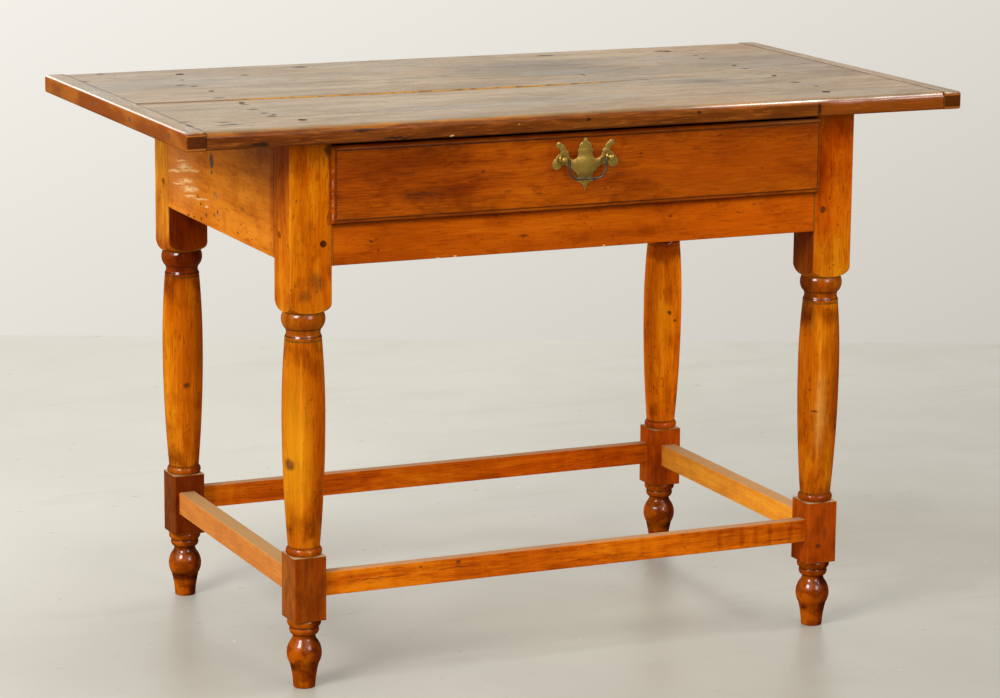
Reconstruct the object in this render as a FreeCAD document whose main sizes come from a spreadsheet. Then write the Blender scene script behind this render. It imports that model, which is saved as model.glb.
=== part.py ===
import FreeCAD, Part
import os
import re
import Sketcher

# A tavern table with a turned frame, low box stretchers and one lipped drawer.
# X runs along the table, Y to its back and Z up; the origin is on the floor under its middle.

# All sizes are in millimetres.
SIZES = {
    # Top: two boards with a lapped seam a little askew, between two narrow breadboard ends
    "table_length": 1020,
    "table_width": 548,
    "table_height": 686,
    "top_thick": 22,
    "end_width": 24,
    "tongue_length": 9,
    "tongue_thick": 7,
    "tongue_stop": 15,
    "seam_left": -17,
    "seam_right": -22,
    "seam_open_left": 2.6,
    "seam_open_right": 0.8,
    "seam_lap": 9,
    "edge_round": 6.5,
    "end_round": 2,
    # Frame of legs, aprons and rail, set in from the edges of the top
    "end_overhang": 136,
    "side_overhang": 29,
    "leg_square": 53,
    "apron_thick": 22,
    "apron_height": 144,
    "rail_thick": 24,
    "rail_height": 54,
    "opening_height": 94,
    "tenon_length": 32,
    "tenon_thick": 9,
    "tenon_set": 7,
    "tenon_shoulder": 10,
    "arris_round": 1.2,
    # Turned foot, each part of it stacked on the one below
    "toe_radius": 13.2,
    "toe_round": 1.2,
    "toe_rise": 28,
    "ball_foot_radius": 17.2,
    "ball_radius": 21.2,
    "ball_rise": 31,
    "ball_head_radius": 15.4,
    "neck_rise": 7,
    "neck_radius": 13.4,
    "bead_rise": 9,
    "bead_radius": 18,
    "ring_rise": 10.5,
    "ring_set": 0.2,
    "lower_square": 41.5,
    "lower_height": 79,
    # Turned shaft, whose length is what the parts above and below it leave
    "shaft_bead_rise": 10,
    "shaft_bead_radius": 21.8,
    "shaft_foot_radius": 19.2,
    "belly_drop": 92,
    "belly_set": 0.5,
    "shaft_head_radius": 22.3,
    "collar_bead_rise": 5,
    "collar_cove_rise": 9,
    "collar_neck_radius": 20.5,
    "collar_ring_rise": 20,
    "collar_ring_set": 0.4,
    "crease": 0.7,
    "block_height": 204,
    "block_round": 16,
    # Stretchers
    "stretcher_rise": 28,
    "stretcher_height": 29,
    "end_stretcher_thick": 21.5,
    "long_stretcher_thick": 15,
    "stretcher_set": 7,
    "stretcher_cheek": 4,
    "stretcher_tenon": 15,
    "stretcher_shoulder": 5,
    # Drawer
    "drawer_back_gap": 30.5,
    "drawer_gap": 1.5,
    "slide_gap": 0.3,
    "front_thick": 21,
    "front_proud": 8.5,
    "lip_over": 3.5,
    "lip_gap": 0.3,
    "lip_head_gap": 6,
    "lip_drop": 4.5,
    "moulding_round": 4.6,
    "field_step": 1.6,
    "field_set": 5.5,
    "side_thick": 12,
    "back_thick": 12,
    "back_drop": 5,
    "tail_length": 10,
    "tail_width": 13,
    "tail_flare": 2,
    "groove_rise": 8,
    "groove_width": 6,
    "groove_depth": 5,
    "panel_thick": 9.5,
    "panel_margin": 14,
    # Strips that carry and guide the drawer
    "runner_width": 30,
    "runner_thick": 20,
    "runner_set": 0.5,
    "runner_tenon": 10,
    "runner_tenon_thick": 8,
    "runner_shoulder": 6,
    "guide_gap": 0.6,
    "guide_height": 25,
    "strip_end_gap": 1,
    "kicker_gap": 1.5,
    "kicker_thick": 12.2,
    "kicker_inside": 8,
    # Handle, laid out from the distance between its two posts
    "handle_boring": 62,
    "handle_rise": 58,
    "plate_thick": 1.2,
    "post_radius": 2.4,
    "post_collar_radius": 4,
    "post_collar_thick": 1.4,
    "post_neck_radius": 2.9,
    "ball_head": 4.6,
    "ball_reach": 7.6,
    "post_tail": 2,
    "nut_square": 9.5,
    "nut_thick": 3.5,
    "bail_radius": 1.7,
    "bail_drop": 24.5,
    "bail_corner": 13,
    "bail_bend": 3,
    "bail_side_gap": 0.4,
    "pintle_reach": 1.5,
    # Fastenings
    "peg_radius": 4,
    "peg_length": 34,
    "peg_proud": 0.4,
    "rail_peg_set": 11.5,
    "apron_peg_set": 19,
    "apron_peg_rise": 31,
    "apron_peg_spread": 73,
    "top_peg_radius": 5.5,
    "top_peg_length": 52,
    "nail_radius": 1.5,
    "nail_head_radius": 3.2,
    "nail_head_thick": 1.2,
    "top_nail_length": 62,
    "top_nail_set": 27,
    "end_nail_length": 48,
    "end_nail_set": 60,
    "guide_nail_length": 45,
    "kicker_nail_length": 26,
    "strip_nail_set": 55,
    "bottom_nail_length": 26,
    "bottom_nail_set": 58,
    # Clearances of fixed joints, pegs and the bail's pintles
    "fit_gap": 0.1,
    "peg_gap": 0.05,
    "pintle_gap": 0.08,
}

# Levels and faces that several pieces share, as expressions on the sizes above
UNDERSIDE = "(table_height - top_thick)"
BALL_LOW = "toe_rise"
BALL_HIGH = f"({BALL_LOW} + ball_rise)"
BEAD_LOW = f"({BALL_HIGH} + neck_rise)"
RING_LOW = f"({BEAD_LOW} + bead_rise)"
LOWER_LOW = f"({RING_LOW} + ring_rise)"
TOP_HALF_LENGTH = "(table_length / 2)"
TOP_HALF_WIDTH = "(table_width / 2)"
BOARD_END = f"({TOP_HALF_LENGTH} - end_width)"
TONGUE_LOW = f"({UNDERSIDE} + (top_thick - tongue_thick) / 2)"
FRAME_X = f"({TOP_HALF_LENGTH} - end_overhang)"
FRAME_Y = f"({TOP_HALF_WIDTH} - side_overhang)"
LEG_X = f"({FRAME_X} - leg_square / 2)"
LEG_Y = f"({FRAME_Y} - leg_square / 2)"
BAY_X = f"({FRAME_X} - leg_square)"
BAY_Y = f"({FRAME_Y} - leg_square)"
APRON_IN_X = f"({FRAME_X} - apron_thick)"
APRON_IN_Y = f"({FRAME_Y} - apron_thick)"
APRON_BOTTOM = f"({UNDERSIDE} - apron_height)"
RAIL_TOP = f"({UNDERSIDE} - opening_height)"
RAIL_BOTTOM = f"({RAIL_TOP} - rail_height)"
DRAWER_X = f"({BAY_X} - drawer_gap)"
SIDE_IN_X = f"({DRAWER_X} - side_thick)"
DRAWER_BASE = f"({RAIL_TOP} + slide_gap)"
KICKER_LOW = f"({UNDERSIDE} - kicker_thick)"
SIDE_TOP = f"({KICKER_LOW} - kicker_gap)"
FRONT_FACE = f"(-{FRAME_Y} - front_proud)"
FRONT_BACK = f"({FRONT_FACE} + front_thick)"
LIP_BACK = f"(-{FRAME_Y} - lip_gap)"
LIP_BOTTOM = f"({RAIL_TOP} - lip_drop)"
LIP_TOP = f"({UNDERSIDE} - lip_head_gap)"
LIP_X = f"({BAY_X} + lip_over)"
DRAWER_END = f"({APRON_IN_Y} - drawer_back_gap)"
BACK_FACE = f"({DRAWER_END} - back_thick)"
GROOVE_LOW = f"({DRAWER_BASE} + groove_rise)"
PANEL_TOP = f"({GROOVE_LOW} + groove_width)"
POST_X = "(handle_boring / 2)"
HANDLE_Z = f"({RAIL_TOP} + handle_rise)"
PLATE_FACE = f"({FRONT_FACE} - plate_thick)"
PIVOT_Y = f"({PLATE_FACE} - ball_reach)"

# A quarter circle's middle lies this share of its radius inside its two tangents.
QUARTER = "0.292893"
# Half the diagonal of a square, as a share of its side.
HALF_DIAGONAL = 0.707107
TINY = 1e-6
AXES = {
    "x": FreeCAD.Vector(1, 0, 0),
    "y": FreeCAD.Vector(0, 1, 0),
    "z": FreeCAD.Vector(0, 0, 1),
}

doc = FreeCAD.newDocument("tavern_table")
sheet = doc.addObject("Spreadsheet::Sheet", "Sizes")
for row, (name, number) in enumerate(SIZES.items(), start=1):
    sheet.set(f"A{row}", name)
    sheet.set(f"B{row}", str(number))
    sheet.setAlias(f"B{row}", name)
doc.recompute()

subparts = []


def linked(text):
    """Turns the size names in an expression into references to the sheet."""
    return re.sub(r"[a-z_]+", lambda word: f"Sizes.{word[0]}" if word[0] in SIZES else word[0], text)


def value(text):
    """The number that an expression on the sizes comes to."""
    return sheet.evalExpression(linked(text))


def keep(piece):
    """Counts a piece among the table's sub-parts."""
    subparts.append(piece)
    return piece


def both_ways(half):
    """The pair of faces that lie the same distance either side of the middle."""
    return f"-({half})", half


def grown(pair, gap="fit_gap"):
    """A pair of faces moved apart by a clearance."""
    low, high = pair
    return f"{low} - {gap}", f"{high} + {gap}"


def block(name, x, y, z):
    """A block between three pairs of faces."""
    piece = doc.addObject("Part::Box", name)
    for side, axis, (low, high) in zip(("Length", "Width", "Height"), "xyz", (x, y, z)):
        piece.setExpression(side, linked(f"({high}) - ({low})"))
        piece.setExpression(f"Placement.Base.{axis}", linked(low))
    return piece


def rod(name, along, span, at, radius):
    """A round rod along one axis, placed by its other two coordinates."""
    low, high = span
    piece = doc.addObject("Part::Cylinder", name)
    turn = FreeCAD.Rotation(AXES["z"], AXES[along])
    piece.Placement = FreeCAD.Placement(FreeCAD.Vector(), turn)
    piece.setExpression("Radius", linked(radius))
    piece.setExpression("Height", linked(f"({high}) - ({low})"))
    others = [axis for axis in "xyz" if axis != along]
    for axis, text in zip([along] + others, [low] + list(at)):
        piece.setExpression(f"Placement.Base.{axis}", linked(text))
    return piece


def joined(name, pieces):
    """Pieces made as one solid."""
    piece = doc.addObject("Part::MultiFuse", name)
    piece.Shapes = pieces
    piece.Refine = True
    return piece


def grouped(name, pieces):
    """Separate solids that share one node."""
    piece = doc.addObject("Part::Compound", name)
    piece.Links = pieces
    return piece


def cut(name, base, tools):
    """A piece with the given shapes taken out of it."""
    piece = doc.addObject("Part::Cut", name)
    piece.Base = base
    piece.Tool = tools[0] if len(tools) == 1 else joined(f"{name}_tools", tools)
    return piece


def mirrored(name, piece):
    """The left-hand twin of a right-hand piece."""
    twin = doc.addObject("Part::Mirroring", name)
    twin.Source = piece
    twin.Normal = AXES["x"]
    return twin


def runs(edge, along):
    """Tells whether an edge lies straight along an axis."""
    ends = [vertex.Point for vertex in edge.Vertexes]
    return (ends[-1] - ends[0]).cross(AXES[along]).Length < TINY and edge.Length > TINY


def board(name, along, x, y, z):
    """A straight board with the arrises along its grain eased."""
    blank = block(f"{name}_blank", x, y, z)
    doc.recompute()
    radius = value("arris_round")
    eased = doc.addObject("Part::Fillet", f"{name}_eased")
    eased.Base = blank
    edges = enumerate(blank.Shape.Edges, start=1)
    eased.Edges = [(number, radius, radius) for number, edge in edges if runs(edge, along)]
    return eased


def tenoned(name, along, stock, tenon):
    """A rail with a tenon on each end, and the seat that its tenons need."""
    rail = joined(f"{name}_rail", [board(name, along, *stock), block(f"{name}_tenons", *tenon)])
    seat = block(f"{name}_seat", *(grown(pair) for pair in tenon))
    return rail, seat


def sketch_on(body, name, plane, offset="0"):
    """A sketch on one of the body's own origin planes, moved out along the plane's normal."""
    support = next(feature for feature in body.Origin.OriginFeatures if feature.Role == plane)
    sketch = body.newObject("Sketcher::SketchObject", name)
    sketch.AttachmentSupport = [(support, "")]
    sketch.MapMode = "FlatFace"
    sketch.setExpression("AttachmentOffset.Base.z", linked(offset))
    return sketch


def pin(sketch, geometry, point, at):
    """Ties a point of a sketch to two expressions."""
    for kind, text in zip(("DistanceX", "DistanceY"), at):
        rule = sketch.addConstraint(Sketcher.Constraint(kind, -1, 1, geometry, point, value(text)))
        sketch.setExpression(f"Constraints[{rule}]", linked(text))


def outline(sketch, start, moves, closed=True):
    """Draws a line to each single point, and to each pair an arc through the first of the two."""
    corner = start
    ends = []
    for *through, target in moves:
        points = [FreeCAD.Vector(value(u), value(v), 0) for u, v in (corner, *through, target)]
        curve = Part.Arc(*points) if through else Part.LineSegment(*points)
        geometry = sketch.addGeometry(curve)
        forward = sketch.getPoint(geometry, 1).distanceToPoint(points[0]) < TINY
        first, last = (1, 2) if forward else (2, 1)
        pin(sketch, geometry, first, corner)
        if through:
            mark = sketch.addGeometry(Part.Point(points[1]), True)
            pin(sketch, mark, 1, through[0])
            sketch.addConstraint(Sketcher.Constraint("PointOnObject", mark, 1, geometry))
        ends.append((geometry, first, last))
        corner = target
    for (geometry, _, last), (after, first, _) in zip(ends, ends[1:]):
        sketch.addConstraint(Sketcher.Constraint("Coincident", geometry, last, after, first))
    if closed:
        (after, first, _), (geometry, _, last) = ends[0], ends[-1]
        sketch.addConstraint(Sketcher.Constraint("Coincident", geometry, last, after, first))
    else:
        pin(sketch, ends[-1][0], ends[-1][2], corner)


def rectangle(sketch, u, v):
    """Draws a rectangle between two pairs of sides."""
    outline(sketch, (u[0], v[0]), [((u[1], v[0]),), ((u[1], v[1]),), ((u[0], v[1]),), ((u[0], v[0]),)])


def pad(body, sketch, length):
    """Raises a sketch into a solid along its normal."""
    feature = body.newObject("PartDesign::Pad", f"{sketch.Name}_pad")
    feature.Profile = sketch
    feature.setExpression("Length", linked(length))
    return feature


def round_edges(body, radius, chosen):
    """Rounds the edges of a body that a test picks out."""
    doc.recompute()
    base = body.Tip
    edges = [f"Edge{n}" for n, edge in enumerate(base.Shape.Edges, start=1) if chosen(edge)]
    feature = body.newObject("PartDesign::Fillet", f"{base.Name}_round")
    feature.Base = (base, edges)
    feature.setExpression("Radius", linked(radius))
    return feature


def near(number, text):
    """Tells whether a coordinate lies at the place that an expression gives."""
    return abs(number - value(text)) < TINY


# Fastenings

def peg(along, span, radius):
    """The maker of one kind of peg, placed by its two other coordinates."""
    return lambda name, at, gap: rod(name, along, span, at, f"{radius} + {gap}")


def nail(along, tip, head, head_high):
    """The maker of one kind of flat-headed nail, with its head flush at the given face."""
    def shape(name, at, gap):
        shank = (f"{tip} - {gap}", head) if head_high else (head, f"{tip} + {gap}")
        thick = f"(nail_head_thick + {gap})"
        low_cap = (f"{head} - {gap}", f"{head} + {thick}")
        cap = (f"{head} - {thick}", f"{head} + {gap}") if head_high else low_cap
        pin_rod = rod(f"{name}_shank", along, shank, at, f"nail_radius + {gap}")
        cap_rod = rod(f"{name}_head", along, cap, at, f"nail_head_radius + {gap}")
        return joined(name, [pin_rod, cap_rod])
    return shape


def fastened(label, shape, places):
    """Makes a group of like fastenings on both sides of the table, and the holes that they sit in."""
    groups = []
    for name, gap in ((label, "0"), (f"{label}_holes", "peg_gap")):
        right = grouped(f"{name}_right", [shape(f"{name}_{n}", at, gap) for n, at in enumerate(places)])
        groups.append(grouped(name, [right, mirrored(f"{name}_left", right)]))
    keep(groups[0])
    return groups[1]


# Four even steps from one outer place to the other, in thirds
EVEN_STEPS = (-3, -1, 1, 3)
APRON_PEG_LEVELS = (
    f"({APRON_BOTTOM} + apron_peg_rise)",
    f"({APRON_BOTTOM} + apron_peg_rise + apron_peg_spread)",
)
rail_peg_span = (f"-{FRAME_Y} - peg_proud", f"-{FRAME_Y} - peg_proud + peg_length")
rail_peg_holes = fastened("rail_pegs", peg("y", rail_peg_span, "peg_radius"), [
    (f"{BAY_X} + rail_peg_set", f"({RAIL_BOTTOM} + {RAIL_TOP}) / 2"),
])
back_peg_span = (f"{FRAME_Y} + peg_proud - peg_length", f"{FRAME_Y} + peg_proud")
back_peg_holes = fastened("back_apron_pegs", peg("y", back_peg_span, "peg_radius"), [
    (f"{BAY_X} + rail_peg_set", level) for level in APRON_PEG_LEVELS
])
end_peg_span = (f"{FRAME_X} + peg_proud - peg_length", f"{FRAME_X} + peg_proud")
end_peg_holes = fastened("end_apron_pegs", peg("x", end_peg_span, "peg_radius"), [
    (f"{sign} * ({BAY_Y} + apron_peg_set)", level) for sign in (-1, 1) for level in APRON_PEG_LEVELS
])
top_peg_span = ("table_height - top_peg_length", "table_height")
top_peg_holes = fastened("top_pegs", peg("z", top_peg_span, "top_peg_radius"), [
    (LEG_X, f"{sign} * {LEG_Y}") for sign in (-1, 1)
])
top_nail_holes = fastened("top_nails", nail("z", "table_height - top_nail_length", "table_height", True), [
    (f"{FRAME_X} - apron_thick / 2", f"({BAY_Y} - top_nail_set) * {step} / 3") for step in EVEN_STEPS
])
end_nail_tip = f"{TOP_HALF_LENGTH} - end_nail_length"
end_nail_level = f"{UNDERSIDE} + top_thick / 2"
end_nail_holes = fastened("breadboard_nails", nail("x", end_nail_tip, TOP_HALF_LENGTH, True), [
    (f"({TOP_HALF_WIDTH} - end_nail_set) * {step} / 3", end_nail_level) for step in EVEN_STEPS
])
guide_nail_head = f"({DRAWER_X} + guide_gap)"
guide_nail = nail("x", f"{guide_nail_head} + guide_nail_length", guide_nail_head, False)
guide_nail_holes = fastened("guide_nails", guide_nail, [
    (f"{sign} * ({BAY_Y} - strip_nail_set)", f"{RAIL_TOP} + guide_height / 2") for sign in (-1, 1)
])
kicker_nail = nail("z", f"{KICKER_LOW} + kicker_nail_length", KICKER_LOW, False)
kicker_nail_holes = fastened("kicker_nails", kicker_nail, [
    (f"({SIDE_IN_X} + {APRON_IN_X}) / 2", f"{sign} * ({BAY_Y} - strip_nail_set)") for sign in (-1, 1)
])
bottom_nail_head = f"({PANEL_TOP} - panel_thick)"
bottom_nail = nail("z", f"{bottom_nail_head} + bottom_nail_length", bottom_nail_head, False)
bottom_nail_holes = fastened("drawer_bottom_nails", bottom_nail, [
    (f"({SIDE_IN_X} - bottom_nail_set) * {step} / 3", f"{DRAWER_END} - back_thick / 2") for step in (1, 3)
])


# Top

def top_board(name, outlines, tongue_y, edge_y, holes):
    """One board of the top, padded from its upper and lower outlines, with a tongue on each end."""
    body = doc.addObject("PartDesign::Body", f"{name}_body")
    for part, (level, thick, y_left, y_right) in outlines.items():
        sketch = sketch_on(body, f"{name}_{part}", "XY_Plane", level)
        outline(sketch, (f"-{BOARD_END}", y_left[0]), [
            ((BOARD_END, y_right[0]),), ((BOARD_END, y_right[1]),),
            ((f"-{BOARD_END}", y_left[1]),), ((f"-{BOARD_END}", y_left[0]),),
        ])
        pad(body, sketch, thick)

    def on_edge(edge):
        middle = edge.CenterOfMass
        return runs(edge, "x") and near(middle.y, edge_y) and near(middle.z, "table_height")

    round_edges(body, "edge_round", on_edge)
    tongue = block(
        f"{name}_tongue",
        both_ways(f"({BOARD_END} + tongue_length)"), tongue_y, (TONGUE_LOW, f"{TONGUE_LOW} + tongue_thick"),
    )
    return keep(cut(name, joined(f"{name}_tongued", [body, tongue]), holes))


top_holes = [top_peg_holes, top_nail_holes, end_nail_holes, kicker_nail_holes]
front_edge = f"-{TOP_HALF_WIDTH}"
half_lap = "(top_thick / 2 - fit_gap / 2)"
near_left = "(seam_left - seam_open_left / 2)"
near_right = "(seam_right - seam_open_right / 2)"
far_left = "(seam_left + seam_open_left / 2)"
far_right = "(seam_right + seam_open_right / 2)"
front_board = top_board(
    "top_board_front",
    {
        "upper": (UNDERSIDE, "top_thick", (front_edge, near_left), (front_edge, near_right)),
        "lap": (
            UNDERSIDE, half_lap,
            (front_edge, f"{near_left} + seam_lap"), (front_edge, f"{near_right} + seam_lap"),
        ),
    },
    (f"{front_edge} + tongue_stop", "min(seam_left; seam_right) - tongue_stop"),
    front_edge,
    top_holes,
)
back_board = top_board(
    "top_board_back",
    {
        "lower": (
            UNDERSIDE, "top_thick",
            (f"{far_left} + seam_lap", TOP_HALF_WIDTH), (f"{far_right} + seam_lap", TOP_HALF_WIDTH),
        ),
        "lap": (
            f"table_height - {half_lap}", half_lap,
            (far_left, TOP_HALF_WIDTH), (far_right, TOP_HALF_WIDTH),
        ),
    },
    ("max(seam_left; seam_right) + seam_lap + tongue_stop", f"{TOP_HALF_WIDTH} - tongue_stop"),
    TOP_HALF_WIDTH,
    top_holes,
)


def breadboard_end():
    """The cross piece on the right end, with its worn outer arris and its stopped groove."""
    body = doc.addObject("PartDesign::Body", "breadboard_end_body")
    sketch = sketch_on(body, "breadboard_end_plan", "XY_Plane", UNDERSIDE)
    rectangle(sketch, (BOARD_END, TOP_HALF_LENGTH), both_ways(TOP_HALF_WIDTH))
    pad(body, sketch, "top_thick")

    def on_upper_end(edge):
        return runs(edge, "x") and near(edge.CenterOfMass.z, "table_height")

    round_edges(body, "edge_round", on_upper_end)

    def on_outer_face(edge):
        outside = all(near(vertex.X, TOP_HALF_LENGTH) for vertex in edge.Vertexes)
        return outside and not near(edge.CenterOfMass.z, UNDERSIDE)

    round_edges(body, "end_round", on_outer_face)
    groove = block(
        "breadboard_groove",
        (f"{BOARD_END} - end_width", f"{BOARD_END} + tongue_length + fit_gap"),
        grown(both_ways(f"({TOP_HALF_WIDTH} - tongue_stop)")),
        grown((TONGUE_LOW, f"{TONGUE_LOW} + tongue_thick")),
    )
    return keep(cut("breadboard_end_right", body, [groove, end_nail_holes]))


keep(mirrored("breadboard_end_left", breadboard_end()))

# Aprons, rail and stretchers

apron_levels = (APRON_BOTTOM, UNDERSIDE)
apron_tenon_levels = (f"{APRON_BOTTOM} + tenon_shoulder", f"{UNDERSIDE} - 2 * tenon_shoulder")
end_apron, end_apron_seat = tenoned(
    "end_apron", "y",
    ((APRON_IN_X, FRAME_X), both_ways(BAY_Y), apron_levels),
    (
        (f"{FRAME_X} - tenon_set - tenon_thick", f"{FRAME_X} - tenon_set"),
        both_ways(f"({BAY_Y} + tenon_length)"),
        apron_tenon_levels,
    ),
)
end_apron = keep(cut("end_apron_right", end_apron, [end_peg_holes, top_nail_holes, guide_nail_holes]))
keep(mirrored("end_apron_left", end_apron))

runner, runner_seat = tenoned(
    "drawer_runner", "y",
    (
        (f"{BAY_X} - runner_set - runner_width", f"{BAY_X} - runner_set"),
        (f"rail_thick - {FRAME_Y}", APRON_IN_Y),
        (f"{RAIL_TOP} - runner_thick", RAIL_TOP),
    ),
    (
        (f"{BAY_X} - runner_set - runner_width + runner_shoulder", f"{BAY_X} - runner_set - runner_shoulder"),
        (f"rail_thick - {FRAME_Y} - runner_tenon", f"{APRON_IN_Y} + runner_tenon"),
        (
            f"{RAIL_TOP} - (runner_thick + runner_tenon_thick) / 2",
            f"{RAIL_TOP} - (runner_thick - runner_tenon_thick) / 2",
        ),
    ),
)
runner.Label = "drawer_runner_right"
keep(runner)
keep(mirrored("drawer_runner_left", runner))
runner_seats = grouped("runner_seats", [runner_seat, mirrored("runner_seat_left", runner_seat)])

back_apron, back_apron_seat = tenoned(
    "back_apron", "x",
    (both_ways(BAY_X), (APRON_IN_Y, FRAME_Y), apron_levels),
    (
        both_ways(f"({BAY_X} + tenon_length)"),
        (f"{FRAME_Y} - tenon_set - tenon_thick", f"{FRAME_Y} - tenon_set"),
        apron_tenon_levels,
    ),
)
keep(cut("back_apron", back_apron, [back_peg_holes, runner_seats]))

drawer_rail, drawer_rail_seat = tenoned(
    "drawer_rail", "x",
    (both_ways(BAY_X), (f"-{FRAME_Y}", f"rail_thick - {FRAME_Y}"), (RAIL_BOTTOM, RAIL_TOP)),
    (
        both_ways(f"({BAY_X} + tenon_length)"),
        (f"tenon_set - {FRAME_Y}", f"tenon_set + tenon_thick - {FRAME_Y}"),
        (f"{RAIL_BOTTOM} + tenon_shoulder", f"{RAIL_TOP} - tenon_shoulder"),
    ),
)
keep(cut("drawer_rail", drawer_rail, [rail_peg_holes, runner_seats]))

BLOCK_IN_X = f"({LEG_X} - lower_square / 2)"
BLOCK_IN_Y = f"({LEG_Y} - lower_square / 2)"
STRETCHER_OUT_X = f"({LEG_X} + lower_square / 2 - stretcher_set)"
STRETCHER_OUT_Y = f"({LEG_Y} + lower_square / 2 - stretcher_set)"
STRETCHER_LOW = f"({LOWER_LOW} + stretcher_rise)"
STRETCHER_HIGH = f"({STRETCHER_LOW} + stretcher_height)"
stretcher_levels = (STRETCHER_LOW, STRETCHER_HIGH)
stretcher_tenon_levels = (f"{STRETCHER_LOW} + stretcher_shoulder", f"{STRETCHER_HIGH} - stretcher_shoulder")


def stretcher_faces(outside, thick):
    """The inner and outer faces of a stretcher and of its tenons, from its outer face."""
    stock = (f"{outside} - {thick}", outside)
    return stock, (f"{stock[0]} + stretcher_cheek", f"{stock[1]} - stretcher_cheek")


def turned_round(pair):
    """The same pair of faces on the other side of the middle."""
    return f"-({pair[1]})", f"-({pair[0]})"


end_stock, end_tenon = stretcher_faces(STRETCHER_OUT_X, "end_stretcher_thick")
long_stock, long_tenon = stretcher_faces(STRETCHER_OUT_Y, "long_stretcher_thick")
end_stretcher, end_stretcher_seat = tenoned(
    "stretcher_end", "y",
    (end_stock, both_ways(BLOCK_IN_Y), stretcher_levels),
    (end_tenon, both_ways(f"({BLOCK_IN_Y} + stretcher_tenon)"), stretcher_tenon_levels),
)
end_stretcher.Label = "stretcher_right"
keep(end_stretcher)
keep(mirrored("stretcher_left", end_stretcher))
long_seats = {}
for place, stock, tenon in (
    ("back", long_stock, long_tenon),
    ("front", turned_round(long_stock), turned_round(long_tenon)),
):
    stretcher, long_seats[place] = tenoned(
        f"stretcher_{place}", "x",
        (both_ways(BLOCK_IN_X), stock, stretcher_levels),
        (both_ways(f"({BLOCK_IN_X} + stretcher_tenon)"), tenon, stretcher_tenon_levels),
    )
    stretcher.Label = f"stretcher_{place}"
    keep(stretcher)

# Legs, turned from square stock

LOWER_HIGH = f"({LOWER_LOW} + lower_height)"
SHAFT_LOW = f"({LOWER_HIGH} + shaft_bead_rise)"
BLOCK_LOW = f"({UNDERSIDE} - block_height)"
COLLAR_RING_LOW = f"({BLOCK_LOW} - collar_ring_rise)"
COLLAR_COVE_LOW = f"({COLLAR_RING_LOW} - collar_cove_rise)"
SHAFT_HIGH = f"({COLLAR_COVE_LOW} - collar_bead_rise)"
BELLY_LEVEL = f"({SHAFT_HIGH} - belly_drop)"
BELLY_RADIUS = "(leg_square / 2 - belly_set)"
RING_RADIUS = "(lower_square / 2 - ring_set)"
RING_HEAD_RADIUS = f"({RING_RADIUS} - 2 * crease)"
COLLAR_RADIUS = "(leg_square / 2 - collar_ring_set)"
CORE_RADIUS = "(leg_square / 4)"


def eased_towards(belly, end):
    """A radius a quarter of the way in from the belly, halfway along an arc that leaves it square."""
    return f"{belly} - ({belly} - {end}) / 4"


# Where each turned form is fullest or most hollow, as a share of its own rise
BEAD_FULL = 0.6
RING_FULL = 0.55
SHAFT_BEAD_FULL = 0.42
COVE_DEEP = 0.45
COLLAR_FULL = 0.64
# Where the toe's hollow and the rounding of the upper block pass the middle of their curves
TOE_HOLLOW = 0.32
ROUNDING_ACROSS = 0.68
ROUNDING_UP = 0.38

LEG_TURNING = [
    # Foot: toe, ball, neck, bead and ring
    (("toe_radius - toe_round", "0"),),
    ((f"toe_radius - toe_round * {QUARTER}", f"toe_round * {QUARTER}"), ("toe_radius", "toe_round")),
    (
        (f"toe_radius + (ball_foot_radius - toe_radius) * {TOE_HOLLOW}", "toe_rise / 2"),
        ("ball_foot_radius", BALL_LOW),
    ),
    (("ball_radius", f"{BALL_LOW} + ball_rise / 2"), ("ball_head_radius", BALL_HIGH)),
    (
        ("neck_radius + (ball_head_radius - neck_radius) / 4", f"{BALL_HIGH} + neck_rise / 2"),
        ("neck_radius", BEAD_LOW),
    ),
    (("neck_radius + 2 * crease", BEAD_LOW),),
    (("bead_radius", f"{BEAD_LOW} + bead_rise * {BEAD_FULL}"), ("bead_radius - crease", RING_LOW)),
    ((RING_RADIUS, f"{RING_LOW} + ring_rise * {RING_FULL}"), (RING_HEAD_RADIUS, LOWER_LOW)),
    # Core of the lower block, then the shaft's bead and its long swell
    ((RING_HEAD_RADIUS, LOWER_HIGH),),
    (
        ("shaft_bead_radius", f"{LOWER_HIGH} + shaft_bead_rise * {SHAFT_BEAD_FULL}"),
        ("shaft_foot_radius", SHAFT_LOW),
    ),
    (
        (eased_towards(BELLY_RADIUS, "shaft_foot_radius"), f"({SHAFT_LOW} + {BELLY_LEVEL}) / 2"),
        (BELLY_RADIUS, BELLY_LEVEL),
    ),
    (
        (eased_towards(BELLY_RADIUS, "shaft_head_radius"), f"({SHAFT_HIGH} + {BELLY_LEVEL}) / 2"),
        ("shaft_head_radius", SHAFT_HIGH),
    ),
    # Collar: an incised line, a bead, a cove and the ring under the block
    (("shaft_head_radius - crease", SHAFT_HIGH),),
    (
        ("shaft_head_radius", f"{SHAFT_HIGH} + collar_bead_rise / 2"),
        ("shaft_head_radius - crease", COLLAR_COVE_LOW),
    ),
    (
        ("collar_neck_radius", f"{COLLAR_COVE_LOW} + collar_cove_rise * {COVE_DEEP}"),
        ("shaft_head_radius - crease", COLLAR_RING_LOW),
    ),
    (
        (COLLAR_RADIUS, f"{COLLAR_RING_LOW} + collar_ring_rise * {COLLAR_FULL}"),
        (f"{COLLAR_RADIUS} - crease", BLOCK_LOW),
    ),
    # Core inside the upper block
    ((CORE_RADIUS, BLOCK_LOW),),
    ((CORE_RADIUS, f"{BLOCK_LOW} + block_round"),),
    (("0", f"{BLOCK_LOW} + block_round"),),
    (("0", "0"),),
]


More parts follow.
